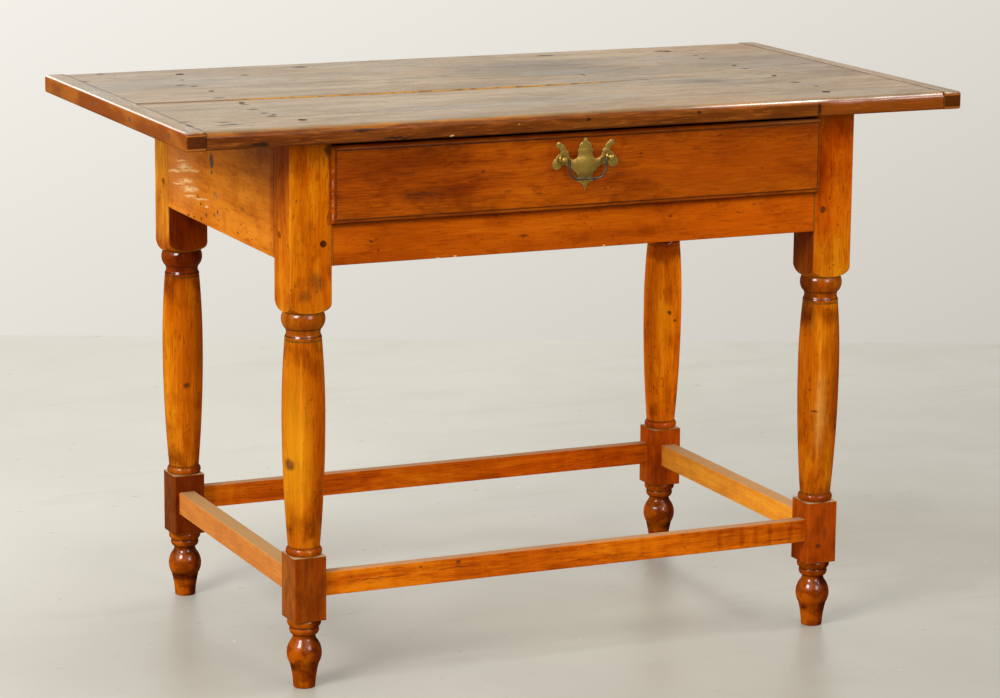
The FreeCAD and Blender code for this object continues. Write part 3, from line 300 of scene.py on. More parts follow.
class Wood(Finish):
    """Wood with its grain along one axis: fibres, bands, clouds, curl, short dark dashes and specks."""

    def __init__(self, name, grain, tones, seed=0.0, fibre=0.26, bands=0.42, clouds=0.32, curl=0.0,
                 dash=0.4, speck=0.5, spread=0.07, patina=0.6):
        super().__init__(name)
        self.along = GRAIN_AXIS[grain]
        self.seed = seed
        self.bent = self.wobbled(0.016, 5)
        self.fibre = self.noise(self.run(16), 520, detail=3, roughness=0.6)
        self.bands = self.noise(self.run(11), 62, detail=3, roughness=0.6)
        self.clouds = self.noise(self.run(2.5), 13, detail=3, roughness=0.6)
        self.dashes = self.streaked(7, 330, 0.58, 0.72, 2)
        self.specks = self.streaked(1.6, 300, 0.68, 0.76, 1)
        tone = 0.0
        for pattern, share in ((self.fibre, fibre), (self.bands, bands), (self.clouds, clouds)):
            tone = self.plus(tone, self.times(pattern, share))
        if curl:
            ripple = self.math("SUBTRACT", self.noise(self.run(0.35), 24, detail=3), 0.5)
            tone = self.plus(tone, self.times(ripple, curl))
        self.tone = tone
        low, middle, high = tones
        self.colour = self.ramp(tone, [(0.5 - spread, low), (0.5, middle), (0.5 + spread, high)])
        shade = tuple(part * 0.3 for part in low)
        self.stain(shade, dash, self.dashes)
        self.stain(shade, speck, self.specks)
        self.ragged = self.wobbled(0.007, 90)
        self.tint((0.70, 0.58, 0.5), patina, self.streaked(1.6, 34, 0.50, 0.66, 4, 0.65))

    def run(self, length):
        """The bent place, drawn out along the grain."""
        stretch = [1.0, 1.0, 1.0]
        stretch[self.along] = 1 / length
        return self.mapped(self.bent, stretch, (self.seed, self.seed * 1.7, self.seed * 0.6))

    def streaked(self, length, scale, low, high, detail=3, roughness=0.5):
        """A mask of noise drawn out along the grain, from 0 at the low value to 1 at the high one."""
        return self.remap(self.noise(self.run(length), scale, detail, roughness), low, high)

    def area(self, centre, reach, soft=0.9):
        """A ragged oval mask, with its centre and reach in millimetres."""
        return self.spot(self.ragged, [n * MM for n in centre], [n * MM for n in reach], soft)

    def tint_patch(self, colour, share, centre, reach, soft=0.9):
        """A tint on one ragged oval."""
        self.tint(colour, share, self.area(centre, reach, soft))

    def stain_patch(self, colour, share, centre, reach, soft=0.9):
        """A stain on one ragged oval."""
        self.stain(colour, share, self.area(centre, reach, soft))

    def marks(self, colour, share, spots, soft=0.5):
        """Like marks at several places, each a centre and a reach in millimetres."""
        self.stain(colour, share, self.strongest([self.area(centre, reach, soft) for centre, reach in spots]))

    def between(self, coordinate, low, high, soft):
        """A mask of the stretch between two levels in millimetres."""
        rise = self.remap(coordinate, (low - soft) * MM, (low + soft) * MM)
        fall = self.remap(coordinate, (high - soft) * MM, (high + soft) * MM, 1, 0)
        return self.times(rise, fall)

    def lines(self, coordinate, levels, half):
        """A mask of thin lines at several levels in millimetres."""
        return self.strongest([self.band(coordinate, level * MM, half * MM) for level in levels])

    def worn(self, colour, share, radius=2.2):
        self.stain(colour, share, self.arris(radius * MM))

    def done(self, rough, relief=0.25, **sockets):
        self.bump(self.math("SUBTRACT", self.fibre, self.dashes), relief * MM)
        roughness = self.remap(self.tone, 0.40, 0.60, rough + 0.07, rough - 0.07)
        return self.surface(roughness, **sockets)


AMBER = ((0.30, 0.056, 0.0008), (0.44, 0.100, 0.0012), (0.58, 0.195, 0.004))
ORANGE = ((0.30, 0.049, 0.0008), (0.395, 0.070, 0.001), (0.47, 0.098, 0.002))
GINGER = ((0.35, 0.056, 0.0008), (0.51, 0.098, 0.001), (0.64, 0.165, 0.003))
RUSSET = ((0.185, 0.029, 0.0008), (0.29, 0.050, 0.001), (0.39, 0.078, 0.002))
# Near-black, for soot, marks and dark joints, and for painted shadow lines round the drawer's lip.
SOOT_AND_SHADE = (0.02, 0.008, 0.004)
CREASE = (0.035, 0.009, 0.002)
STRAW = (0.86, 0.62, 0.32)
GOLD_RIM = (0.82, 0.36, 0.03)
MATT = {"Specular_IOR_Level": 0.0}
# The collars of the right legs were turned a little lower.
COLLAR_DROP = 4.5
LEG_CREASES = (66, 75, 85.5, 164.5, 174.5, 426, 431, 440, 460)
# Where the polish of the turned parts shines: between the camera and the left and front lights.
GLINTS = ((-0.610, -0.650, 0.456), (-0.100, -0.915, 0.386))


def leg_wood():
    """Maple, darkened on the foot, the lower block and the collar, and nearly black in the turned creases."""
    wood = Wood("leg_wood", "z", AMBER, seed=0.3, fibre=0.24, bands=0.34, clouds=0.42, speck=0.7,
                spread=0.10, patina=0.75)
    x, y, z = wood.axes(wood.place)
    lowered = wood.times(wood.remap(x, -0.01, 0.01, 0, COLLAR_DROP * MM), wood.remap(z, 0.39, 0.40))
    z = wood.plus(z, lowered)
    across = wood.axes(wood.normal)
    facing_left = wood.remap(across[0], -0.5, -0.9)
    facing_front = wood.remap(across[1], -0.5, -0.9)
    cloudy = wood.streaked(1.4, 38, 0.42, 0.62)
    smudge = wood.streaked(2, 70, 0.48, 0.62)
    wood.stain_patch((0.60, 0.245, 0.006), 0.6, (-372, -240, 300), (34, 40, 150))
    # Painted shade on the right side of the front-left shaft, turned from the light.
    wood.tint_patch((1.00, 0.76, 0.6), 0.85, (-328, -250, 320), (22, 40, 160))
    wood.tint_patch((1.08, 1.03, 1.0), 1.0, (-347, 219, 300), (60, 60, 140), 0.3)
    wood.tint_patch((0.86, 0.80, 1.0), 0.9, (-347, 219, 205), (60, 60, 50), 0.5)
    # Painted shade on the right side of the front-right shaft, turned from the light.
    wood.tint_patch((0.72, 0.54, 0.6), 0.8, (366, -240, 330), (20, 40, 150))
    wood.stain_patch((0.66, 0.34, 0.06), 0.5, (338, -250, 280), (12, 20, 90))
    wood.tint_patch((0.97, 0.63, 0.4), 0.8, (347, -218, 580), (60, 60, 100), 0.3)
    # Painted light on the back-right leg, which stands in the shade under the table.
    wood.tint_patch((1.95, 1.9, 1.2), 1.0, (347, 219, 300), (60, 60, 270), 0.3)
    # A painted highlight: a paler streak down each shaft where it faces the camera.
    to_left = wood.agreement(wood.normal, (-0.934, 0.357, 0))
    wood.tint((1.35, 1.5, 2.5), 0.5, wood.between(z, 180, 420, 20), wood.band(to_left, 0.10, 0.16))
    foot = wood.between(z, -10, 85, 1)
    block = wood.between(z, 85, 164, 1)
    wood.tint((0.52, 0.36, 0.3), 0.95, foot)
    wood.stain((0.36, 0.068, 0.001), 0.5, foot)
    # Painted shade on the side of each foot turned from the lights, and painted light on the side towards
    # them.
    turned_away = wood.agreement(wood.normal, (0.934, -0.357, 0))
    wood.tint((0.36, 0.26, 0.5), 0.85, foot, wood.remap(turned_away, 0.1, 0.75))
    wood.tint((1.35, 1.45, 1.0), 0.9, foot, wood.remap(turned_away, 0.0, -0.5))
    wood.tint((0.42, 0.32, 0.6), 0.75, foot, wood.streaked(0.8, 60, 0.46, 0.60))
    wood.tint((0.56, 0.38, 0.6), 0.95, block)
    wood.stain((0.26, 0.040, 0.002), 0.5, block)
    wood.tint((0.55, 0.50, 0.6), 0.55, block, smudge)
    wood.tint((1.35, 1.30, 1.2), 0.9, block, wood.remap(x, 0.0, 0.1))
    left_half = wood.remap(x, 0.0, -0.1)
    wood.tint((0.76, 0.74, 0.9), 0.9, block, left_half)
    wood.tint((0.58, 0.48, 0.75), 0.9, block, wood.area((-347, 219, 125), (60, 60, 90), 0.2))
    wood.tint_patch((0.50, 0.36, 0.5), 0.9, (347, 219, 418), (60, 60, 22), 0.5)
    # A painted sheen: the left faces of the left lower blocks are paler, the front one most.
    wood.tint((1.45, 2.5, 8.0), wood.remap(y, 0.1, -0.1, 0.5, 1.0), block, facing_left, left_half)
    # Painted shade on the left face of the front-right leg's upper end.
    wood.tint((0.34, 0.25, 0.6), 0.95, facing_left, wood.area((347, -219, 520), (60, 60, 160), 0.2))
    wood.tint((0.98, 0.86, 0.8), 0.9, wood.between(z, 470, 670, 6))
    wood.tint_patch((1.08, 1.16, 1.0), 0.9, (-347, -219, 580), (60, 60, 130), 0.3)
    # A painted sheen: the front-left collar is paler.
    wood.tint_patch((1.0, 1.2, 2.0), 0.9, (-347, -219, 445), (60, 60, 22), 0.3)
    wood.tint((0.55, 0.38, 0.5), 0.9, wood.between(z, 428, 460, 3))
    wood.tint((0.60, 0.40, 0.5), 0.9, wood.between(z, 165, 176, 1))
    wood.tint((0.40, 0.27, 0.4), 0.85, wood.between(z, 168, 212, 14), cloudy)
    wood.tint((0.50, 0.36, 0.4), 0.8, wood.between(z, 400, 428, 12), cloudy)
    # Dark bands on the ball: grime on its upper part and neck, and painted shade in the crease under the
    # ball.
    smoky = wood.math("MAXIMUM", wood.between(z, 22, 31, 5), wood.between(z, 54, 67, 7))
    wood.tint((0.24, 0.18, 0.3), 0.85, smoky, wood.plus(cloudy, 0.5))
    # Painted shade under the top, on the upper ends of the legs.
    wood.tint((0.62, 0.46, 0.5), 0.75, wood.between(z, 640, 670, 32))
    # A painted shadow of the top's overhang on the upper left face of the front-left leg.
    wood.tint((0.5, 0.36, 0.4), wood.remap(y, 0.0, -0.1, 0, 0.75), wood.between(z, 600, 670, 45), facing_left)
    # Painted light on the left face of the back-left leg's upper block, lifting the painted shade there.
    wood.tint((1.52, 2.7, 12.0), 0.9, facing_left, wood.area((-374, 219, 570), (9, 60, 110), 0.2))
    # Painted shade on the front face of the back-left leg's upper block, under the aprons and the top.
    wood.tint((0.34, 0.20, 0.3), 0.95, facing_front, wood.area((-347, 219, 560), (60, 60, 150), 0.2))
    wood.marks((0.06, 0.018, 0.008), 0.85, [
        ((-369, -229, 278), (10, 12, 10)), ((-352, 193, 285), (7, 8, 6)), ((341, -239, 107), (6, 8, 5)),
        ((-348, -245, 205), (6, 9, 5)), ((345, 194, 330), (4, 7, 4)), ((355, 194, 318), (3.5, 7, 4)),
        ((330, -240, 284), (10, 9, 2)), ((362, -238, 262), (3.5, 7, 5)), ((-327, -245, 653), (6, 7, 11)),
        ((-374, 211, 545), (5, 3, 4)),
    ], 0.7)
    wood.marks((0.24, 0.07, 0.012), 0.7, [((-369, -229, 279), (5, 7, 5))], 0.7)
    wood.marks((0.09, 0.026, 0.006), 0.6, [
        ((-341, -245, 498), (17, 8, 20)), ((-356, -245, 482), (14, 8, 12)), ((352, -239, 124), (4, 7, 15)),
        ((-334, -239, 116), (10, 6, 5)), ((-326, -245, 656), (8, 7, 12)),
    ], 1.0)
    wood.stain(CREASE, 0.85, wood.lines(z, LEG_CREASES, 1.3))
    # Pale dust on top of the lower blocks, with a painted sheen of the light from above.
    wood.stain((0.46, 0.34, 0.22), 0.85, wood.between(z, 163, 166, 0.5), wood.remap(across[2], 0.8, 0.95))
    corners = wood.arris(2.6 * MM)
    wood.stain(GOLD_RIM, 0.25, corners, wood.between(z, 88, 660, 2))
    wood.stain((0.56, 0.145, 0.008), 0.35, corners, block)
    # The upper blocks' arrises are painted bright yellow: wear, with a painted highlight along them.
    wood.stain((0.90, 0.46, 0.06), 0.6, corners, wood.between(z, 476, 660, 8))
    gloss = wood.times(wood.between(z, 178, 425, 2), 0.12)
    for low, high, share in ((34, 62, 1.0), (66, 86, 0.5), (165, 178, 0.6), (425, 464, 0.9)):
        gloss = wood.plus(gloss, wood.times(wood.between(z, low, high, 2), share))
    # The coat is laid only where the normals face the glints, so the gloss stands just where the lights make
    # highlights.
    facing_glints = wood.strongest([
        wood.remap(wood.agreement(wood.normal, towards), 0.955, 0.985, 0.03, 1.0) for towards in GLINTS
    ])
    coat = wood.plus(wood.times(gloss, facing_glints), 0.03)
    return wood.done(0.42, Coat_Weight=coat, Coat_Roughness=0.13, **MATT)


APRON_FACE = -374
SCRATCH_LEAN = 0.12
# Pale scratches on the left apron: place along it, level, reach along and half height, in millimetres.
SCRATCHES = (
    (126, 581, 40, 7.5), (165, 571, 32, 2.4), (90, 582, 28, 2.4), (125, 564, 42, 4), (108, 556, 46, 6),
    (150, 557, 32, 2), (106, 548, 28, 2.4), (66, 550, 40, 2.2), (45, 544, 12, 2), (140, 588, 26, 2.2),
)


def on_left_apron(spots):
    """Marks on the outer face of the left apron: place along it, level, and the reach along and up."""
    return [((APRON_FACE, along, level), (4, reach, half)) for along, level, reach, half in spots]


def end_apron_wood():
    """The end aprons; the left one is scratched and spotted."""
    wood = Wood("end_apron_wood", "y", ((0.45, 0.110, 0.003), (0.59, 0.165, 0.005), (0.68, 0.215, 0.012)),
                seed=1.1, dash=0.2, speck=0.6, spread=0.10)
    # A painted shadow of the top's overhang across the upper part of the left apron.
    wood.tint_patch((0.30, 0.20, 0.3), 0.85, (APRON_FACE, -150, 660), (8, 200, 80))
    wood.tint_patch((0.66, 0.42, 0.4), 0.85, (APRON_FACE, -187, 590), (6, 14, 90))
    wood.stain_patch((0.60, 0.21, 0.05), 0.6, (APRON_FACE, 140, 575), (6, 90, 70))
    askew = wood.leaned(wood.wobbled(0.006, 60), SCRATCH_LEAN)
    strokes = wood.strongest([
        wood.spot(
            askew,
            (APRON_FACE * MM, along * MM, (level + SCRATCH_LEAN * along) * MM),
            (8 * MM, reach * MM, half * MM),
            0.8,
        )
        for along, level, reach, half in SCRATCHES
    ])
    strands = wood.noise(wood.mapped(askew, (1, 0.07, 1)), 420, detail=2)
    wood.stain((0.84, 0.55, 0.24), 0.85, strokes, wood.remap(strands, 0.30, 0.52))
    wood.marks((0.075, 0.052, 0.036), 0.9, on_left_apron([(25, 604, 10, 12), (25, 589, 5, 3)]), 0.5)
    wood.marks((0.22, 0.15, 0.10), 0.7, on_left_apron([(8, 563, 7, 6), (1, 541, 7, 5)]), 0.9)
    wood.marks((0.15, 0.06, 0.010), 0.7, on_left_apron([(37.5, 569, 3, 7), (15, 564, 4, 4)]), 0.8)
    wood.marks(SOOT_AND_SHADE, 0.8, on_left_apron([
        (76, 552, 4, 3), (66, 544, 5, 3), (47, 532, 5, 2.6),
        (64, 525, 6, 2.6), (113, 523, 6, 2.2), (91, 523, 6, 2),
        (17, 539, 4, 2.6), (1, 534, 4, 1.8), (-79, 542, 4, 1.8),
        (-68, 530, 5, 2), (185, 519, 9, 3.6), (4, 543, 3, 4),
    ]), 0.7)
    wood.marks((0.12, 0.035, 0.008), 0.6, on_left_apron([
        (90, 540, 5, 2), (-62, 556, 6, 1.6), (-101, 536, 5, 2),
        (-132, 532, 6, 2), (-85, 562, 16, 4),
    ]), 0.9)
    wood.stain(SOOT_AND_SHADE, 0.7, wood.lines(wood.axes(wood.place)[1], (-191.5, 191.5), 1.6))
    wood.worn(GOLD_RIM, 0.3)
    return wood.done(0.46, Coat_Weight=0.05, Coat_Roughness=0.25, **MATT)


def rail_wood():
    """The rail under the drawer, spotted, with small pale chips on its lower edge."""
    wood = Wood("rail_wood", "x", ORANGE, seed=2.3, speck=0.5, dash=0.3, spread=0.10)
    x, _, z = wood.axes(wood.place)
    # A painted shadow of the drawer's lip along the top of the rail.
    wood.tint((0.45, 0.36, 0.4), 0.85, wood.between(z, 561, 580, 3))
    wood.tint((1.18, 1.15, 1.0), 1.0, wood.remap(x, 0.05, 0.22))
    wood.stain(SOOT_AND_SHADE, 0.8, wood.lines(x, (-320.4, 320.4), 1.5))
    wood.marks(SOOT_AND_SHADE, 0.7, [
        ((-272, -245, 542), (4, 4, 2.2)), ((-111, -245, 562), (3, 4, 2)), ((-76, -245, 536), (8, 4, 3)),
        ((-262, -245, 530), (2, 4, 3)), ((120, -245, 548), (3, 4, 2)), ((235, -245, 556), (5, 4, 2)),
    ], 0.7)
    wood.marks(STRAW, 0.55, [
        ((-165, -245, 517), (3, 4, 1.4)), ((-187, -245, 516.5), (3, 4, 1.2)), ((31, -245, 517), (2, 4, 1)),
    ])
    wood.worn(GOLD_RIM, 0.35)
    return wood.done(0.42, Coat_Weight=0.06, Coat_Roughness=0.2, **MATT)


def stretcher_wood(name, grain, seed):
    """Curly maple with pale upper faces, dust with a painted sheen, cracks along the grain and a few knots.
    """
    wood = Wood(name, grain, GINGER, seed=seed, curl=0.13, dash=0.3, spread=0.09)
    wood.tint_patch((0.66, 0.46, 0.5), 0.75, (330, -235, 128), (60, 20, 40))
    wood.marks((0.10, 0.022, 0.006), 0.8, [
        ((-153, -232, 138), (6, 4, 3)), ((-203, -232, 136), (4, 4, 2.4)), ((-255, -232, 129), (60, 4, 0.9)),
        ((-150, -232, 131), (46, 4, 0.8)), ((285, -232, 120), (26, 4, 1)), ((60, -232, 124), (24, 4, 0.7)),
        ((-20, -232, 137), (5, 4, 2)),
    ], 0.7)
    bars = wood.strongest([wood.area((along, -232, 128), (6, 9, 24)) for along in (205, 236, 256, 276, 306)])
    wood.tint((0.58, 0.40, 0.4), 0.7, bars)
    left_side = wood.area((-347, 0, 126), (40, 300, 40), 0.3)
    wood.tint((1.03, 1.45, 2.6), 0.9, left_side)
    wood.stain((0.55, 0.215, 0.060), 0.55, left_side)
    right_side = wood.area((347, 0, 126), (40, 300, 40), 0.3)
    wood.tint((1.45, 2.2, 4.5), 0.9, right_side)
    wood.stain((0.78, 0.320, 0.040), 0.5, right_side)
    wood.tint_patch((0.90, 0.78, 0.6), 0.85, (0, 219, 126), (400, 30, 40), 0.3)
    wood.tint_patch((1.3, 1.18, 0.6), 0.9, (220, 219, 126), (200, 30, 40))
    wood.tint_patch((1.12, 1.22, 1.0), 0.9, (150, -232, 128), (170, 20, 30))
    # The upper faces: pale dust, with a painted sheen of the light from above.
    upper = wood.remap(wood.axes(wood.normal)[2], 0.7, 0.95)
    wood.stain((0.38, 0.25, 0.13), 0.75, upper)
    wood.stain((0.43, 0.245, 0.095), 0.85, upper, left_side)
    wood.worn(GOLD_RIM, 0.15)
    return wood.done(0.42, Coat_Weight=0.06, Coat_Roughness=0.2, **MATT)


def drawer_wood():
    """The redder, mottled drawer front, black in the quirk of its moulding."""
    wood = Wood("drawer_wood", "x", RUSSET, seed=3.7, fibre=0.34, bands=0.26, clouds=0.40, dash=0.28,
                speck=0.35, spread=0.095, patina=0.8)
    x, y, z = wood.axes(wood.place)
    wood.tint_patch((0.58, 0.50, 0.6), 0.85, (-250, -253, 640), (150, 30, 40))
    wood.tint_patch((0.84, 0.74, 0.7), 0.6, (0, -253, 612), (80, 30, 36))
    wood.tint_patch((0.42, 0.32, 0.5), 0.85, (0, -253, 626), (58, 30, 30))
    wood.stain_patch((0.36, 0.062, 0.001), 0.5, (200, -253, 600), (170, 30, 46))
    # Painted light, lifting the shade under the top and along the bottom of the drawer front.
    wood.tint((1.32, 1.48, 1.0), 0.9, wood.between(z, 638, 660, 8), wood.between(x, -330, 60, 40))
    wood.tint((1.14, 1.28, 1.0), 0.9, wood.between(z, 560, 590, 8))
    knot = wood.times(wood.area((-214, -253, 595), (42, 30, 12)), wood.remap(wood.fibre, 0.46, 0.58))
    wood.stain((0.05, 0.012, 0.004), 0.8, knot)
    wood.marks((0.08, 0.02, 0.006), 0.7, [
        ((-133, -253, 618), (4, 9, 2.4)), ((182, -253, 645), (6, 9, 2)), ((240, -253, 600), (3, 9, 2)),
        ((-60, -253, 588), (8, 9, 1.2)), ((75, -253, 628), (3, 9, 2)),
    ], 0.7)
    wood.marks((0.50, 0.20, 0.06), 0.6, [((31, -253, 591), (1.8, 9, 2))], 0.9)
    quirk = wood.math("MAXIMUM", wood.lines(z, (570.6, 652.9), 1.9), wood.lines(x, (-319.4, 319.4), 1.9))
    outside = wood.remap(y, -0.251, -0.2525)
    wood.stain(SOOT_AND_SHADE, 0.95, quirk, outside)
    # Painted shadow lines along the outer edges of the lip, where it stands over the rail and beside the
    # legs.
    lip_shadow_lines = wood.math("MAXIMUM", wood.lines(z, (565.5,), 2.5), wood.lines(x, (-325.6, 324.5), 2.2))
    wood.stain(SOOT_AND_SHADE, 0.7, lip_shadow_lines)
    # A broken pale line on the lip's left arris: dust, with a painted highlight.
    broken = wood.remap(wood.noise(wood.mapped(wood.place, (1, 1, 0.5)), 260, detail=3), 0.50, 0.62)
    wood.stain((0.62, 0.47, 0.36), 0.35, wood.lines(x, (-322.6,), 0.9), broken)
    wood.worn((0.48, 0.16, 0.02), 0.3, 1.6)
    # A painted highlight along the upper arris of the drawer front, on its right part.
    tipped = wood.agreement(wood.normal, (0, -0.707, 0.707))
    upper = wood.times(wood.remap(tipped, 0.84, 0.96), wood.remap(z, 0.650, 0.652))
    wood.stain((0.72, 0.33, 0.10), 0.4, upper, wood.remap(x, 0.16, 0.30))
    coat = wood.remap(x, -0.318, -0.312, 0.02, 0.12)
    return wood.done(0.36, Coat_Weight=coat, Coat_Roughness=0.16, **MATT)


SEAM_MIDDLE = -19.5 * MM
SEAM_SLOPE = -0.005
TOP_FACE = 686
TOP_TONES = ((0.180, 0.112, 0.052), (0.236, 0.150, 0.071), (0.292, 0.192, 0.094))
EDGE_TINT = (0.76, 0.31, 0.065)
# Old nail holes and dents in the top: place along and across it, and the reach along and across.
NAIL_HOLES = (
    (-370, -177, 9, 8), (-369, -151, 8, 6), (-371, -114, 11, 6), (-364, -70, 9, 6), (-374, -1, 13, 6),
    (-367, 104, 8, 7), (-381, 119, 12, 7), (356, -124, 10, 8), (356, -29, 11, 6), (362, 22, 11, 6),
    (-179, 233, 14, 9), (-273, 182, 9, 7), (-442, 255, 10, 7), (172, 234, 20, 9), (339, 223, 14, 7),
    (357, 132, 9, 6), (137, 41, 3, 14), (-486, -220, 5, 14), (-482, -188, 10, 6), (-482, 192, 10, 6),
    (196, -28, 3, 14), (-440, -226, 24, 6), (-440, -205, 16, 5),
)


def top_wood(name, grain, seed):
    """The worn brown top: satin above, redder and darker on its edges."""
    wood = Wood(name, grain, TOP_TONES, seed=seed, fibre=0.40, bands=0.30, clouds=0.30, dash=0.3, speck=0.3,
                spread=0.09, patina=0.15)
    x, y, z = wood.axes(wood.place)
    lean_x, lean_y, up = wood.axes(wood.normal)
    above = wood.remap(up, 0.80, 0.96)
    edge = wood.remap(up, 0.45, 0.90, 1, 0)
    smoky = wood.streaked(3, 9, 0.48, 0.64, 4, 0.6)
    wood.stain((0.140, 0.120, 0.090), 0.45, smoky, above)
    warm = wood.streaked(3, 7, 0.50, 0.66)
    wood.stain((0.30, 0.165, 0.068), 0.4, warm, above)
    wood.tint_patch((0.60, 0.64, 0.74), 0.85, (80, 130, TOP_FACE), (270, 110, 9))
    # A painted reflection: the far left of the top is lighter and greyer.
    wood.tint_patch((0.92, 1.03, 1.24), 0.9, (-340, 60, TOP_FACE), (300, 260, 9))
    wood.tint_patch((0.72, 0.67, 0.61), 0.85, (330, -160, TOP_FACE), (200, 110, 9))
    wood.tint_patch((0.92, 0.94, 1.02), 0.9, (-200, -180, TOP_FACE), (220, 90, 9))
    wood.tint_patch((0.76, 0.73, 0.76), 0.95, (450, 0, TOP_FACE), (130, 190, 9))
    wood.stain_patch((0.125, 0.125, 0.115), 0.6, (120, 70, TOP_FACE), (120, 40, 9))
    wood.stain_patch((0.055, 0.042, 0.034), 0.7, (249, -68, TOP_FACE), (70, 34, 9))
    wood.stain_patch((0.34, 0.18, 0.07), 0.5, (-52, 132, TOP_FACE), (70, 30, 9))
    holes = wood.strongest([
        wood.area((along, across, TOP_FACE), (reach, half, 5), 0.7)
        for along, across, reach, half in NAIL_HOLES
    ])
    wood.stain((0.016, 0.011, 0.008), 0.95, holes)
    wood.tint(EDGE_TINT, 1.0, edge)
    wood.tint((0.55, 0.46, 0.5), 0.8, edge, wood.remap(wood.bands, 0.44, 0.60))
    front = wood.times(edge, wood.remap(y, -0.26, -0.268))
    wood.tint((0.87, 0.83, 1.2), 0.9, front, wood.between(x, -600, -200, 160))
    wood.stain((0.23, 0.052, 0.004), 0.75, front, wood.between(x, 312, 520, 6))
    wood.stain((0.42, 0.125, 0.012), 0.3, edge, wood.remap(wood.fibre, 0.54, 0.66))
    wood.marks(SOOT_AND_SHADE, 0.9, [
        ((-295, -274, 679), (20, 6, 4)), ((309, -274, 676), (3, 8, 16)), ((143, -274, 677), (6, 6, 4)),
        ((-6, -274, 676), (4, 6, 3)), ((-420, -274, 668), (16, 6, 4)), ((-250, -274, 667), (26, 6, 2.5)),
    ], 0.6)
    wood.marks(STRAW, 0.6, [((-182, -274, 666), (4, 6, 1.8)), ((-95, -274, 675), (2, 6, 1))])
    # Orange streaks on the rounded upper arris: a painted highlight.
    arris = wood.times(wood.remap(up, 0.20, 0.45), wood.remap(up, 0.97, 0.86))
    wood.stain((0.50, 0.17, 0.02), 0.45, arris, wood.remap(wood.bands, 0.46, 0.58))
    worn_through = wood.remap(wood.noise(wood.place, 70, detail=3), 0.30, 0.52, 0.35, 1.0)
    joint = wood.times(wood.band(wood.math("ABSOLUTE", x), 485.5 * MM, 2.4 * MM), worn_through)
    wood.stain(SOOT_AND_SHADE, 0.9, joint)
    check_line = wood.plus(y, wood.times(wood.plus(x, 0.487), 0.176))
    check = wood.times(wood.band(check_line, -0.139, 1.6 * MM), wood.between(x, -480, 60, 60))
    wood.stain((0.10, 0.035, 0.015), 0.55, check, worn_through)
    holes = wood.math("MAXIMUM", holes, joint)
    glossy = wood.times(wood.remap(x, 0.03, 0.30), wood.remap(wood.bands, 0.36, 0.50, 0.35, 1.0))
    if grain == "x":
        seam = wood.math("SUBTRACT", y, wood.plus(SEAM_MIDDLE, wood.times(x, SEAM_SLOPE)))
        near = wood.remap(wood.math("ABSOLUTE", seam), 2.0 * MM, 3.2 * MM, 1, 0)
        at_seam = wood.times(near, wood.remap(up, 0.4, 0.8, 1, 0))
        wood.stain(SOOT_AND_SHADE, 0.8, wood.band(seam, 0.0, 1.1 * MM), above)
        wood.stain((0.30, 0.22, 0.15), 0.8, at_seam)
        golden = wood.times(at_seam, wood.between(x, -352, 150, 40))
        wood.stain((0.62, 0.29, 0.035), 0.95, golden)
        gaps = wood.remap(wood.noise(wood.mapped(wood.place, (1, 3, 3)), 90, detail=3), 0.50, 0.62)
        wood.stain((0.07, 0.032, 0.014), 0.6, golden, gaps)
    else:
        outer = wood.remap(wood.math("ABSOLUTE", lean_x), 0.55, 0.85)
        wood.stain((0.42, 0.125, 0.012), 0.6, outer)
        wood.tint((0.60, 0.44, 0.4), 0.85, outer, wood.remap(wood.clouds, 0.44, 0.56))
        to_end = wood.math("ABSOLUTE", lean_y)
        end_grain = wood.remap(to_end, 0.85, 0.97)
        wood.stain((0.060, 0.013, 0.002), 0.85, end_grain)
        rim = wood.math("MAXIMUM", wood.lines(z, (682.2,), 1.3), wood.lines(z, (666,), 2.2))
        wood.stain((0.50, 0.15, 0.02), 0.7, wood.remap(to_end, 0.5, 0.8), rim)
        # A painted highlight on the rounded outer corners at the ends of the breadboards.
        corner = wood.times(wood.remap(wood.math("ABSOLUTE", y), 0.266, 0.270), wood.arris(5 * MM))
        outer_half = wood.remap(wood.math("ABSOLUTE", x), 0.494, 0.500)
        wood.stain((0.62, 0.20, 0.02), 0.7, corner, outer_half)
        glossy = wood.math("MAXIMUM", glossy, wood.remap(x, -0.500, -0.503))
    rounded = wood.times(wood.remap(up, 0.42, 0.56), wood.remap(up, 0.92, 0.82))
    rounded = wood.times(rounded, wood.remap(x, 0.315, 0.330, 1.0, 0.6))
    coat = wood.plus(wood.times(rounded, glossy), wood.times(edge, 0.04))
    streaks = wood.remap(wood.fibre, 0.42, 0.58, 0.25, 1.0)
    lower = wood.times(wood.remap(up, 0.05, 0.22), wood.remap(up, 0.70, 0.50))
    polished = wood.times(wood.times(lower, streaks), wood.remap(lean_y, -0.5, -0.7))
    coat = wood.plus(coat, wood.times(polished, wood.between(x, 322, 520, 10)))
    polish = wood.times(above, wood.remap(x, -0.5, 0.3, 0.24, 0.08))
    polish = wood.times(polish, wood.remap(holes, 0.0, 1.0, 1.0, 0.1))
    return wood.done(0.33, 0.3, Specular_IOR_Level=polish, Coat_Weight=coat, Coat_Roughness=0.2, Coat_IOR=2.2)


def inner_wood():
    """Bare inner pine, browned with age."""
    wood = Wood("inner_wood", "y", ((0.26, 0.13, 0.05), (0.36, 0.19, 0.08), (0.44, 0.25, 0.11)), seed=5.2)
    wood.worn((0.16, 0.08, 0.03), 0.4)
    return wood.done(0.62, Specular_IOR_Level=0.25)


def peg_wood(name, tones):
    """Dark pegs, seen mostly as end grain."""
    wood = Wood(name, "z", tones, seed=6.1)
    wood.worn(SOOT_AND_SHADE, 0.6, 1)
    return wood.done(0.5, **MATT)


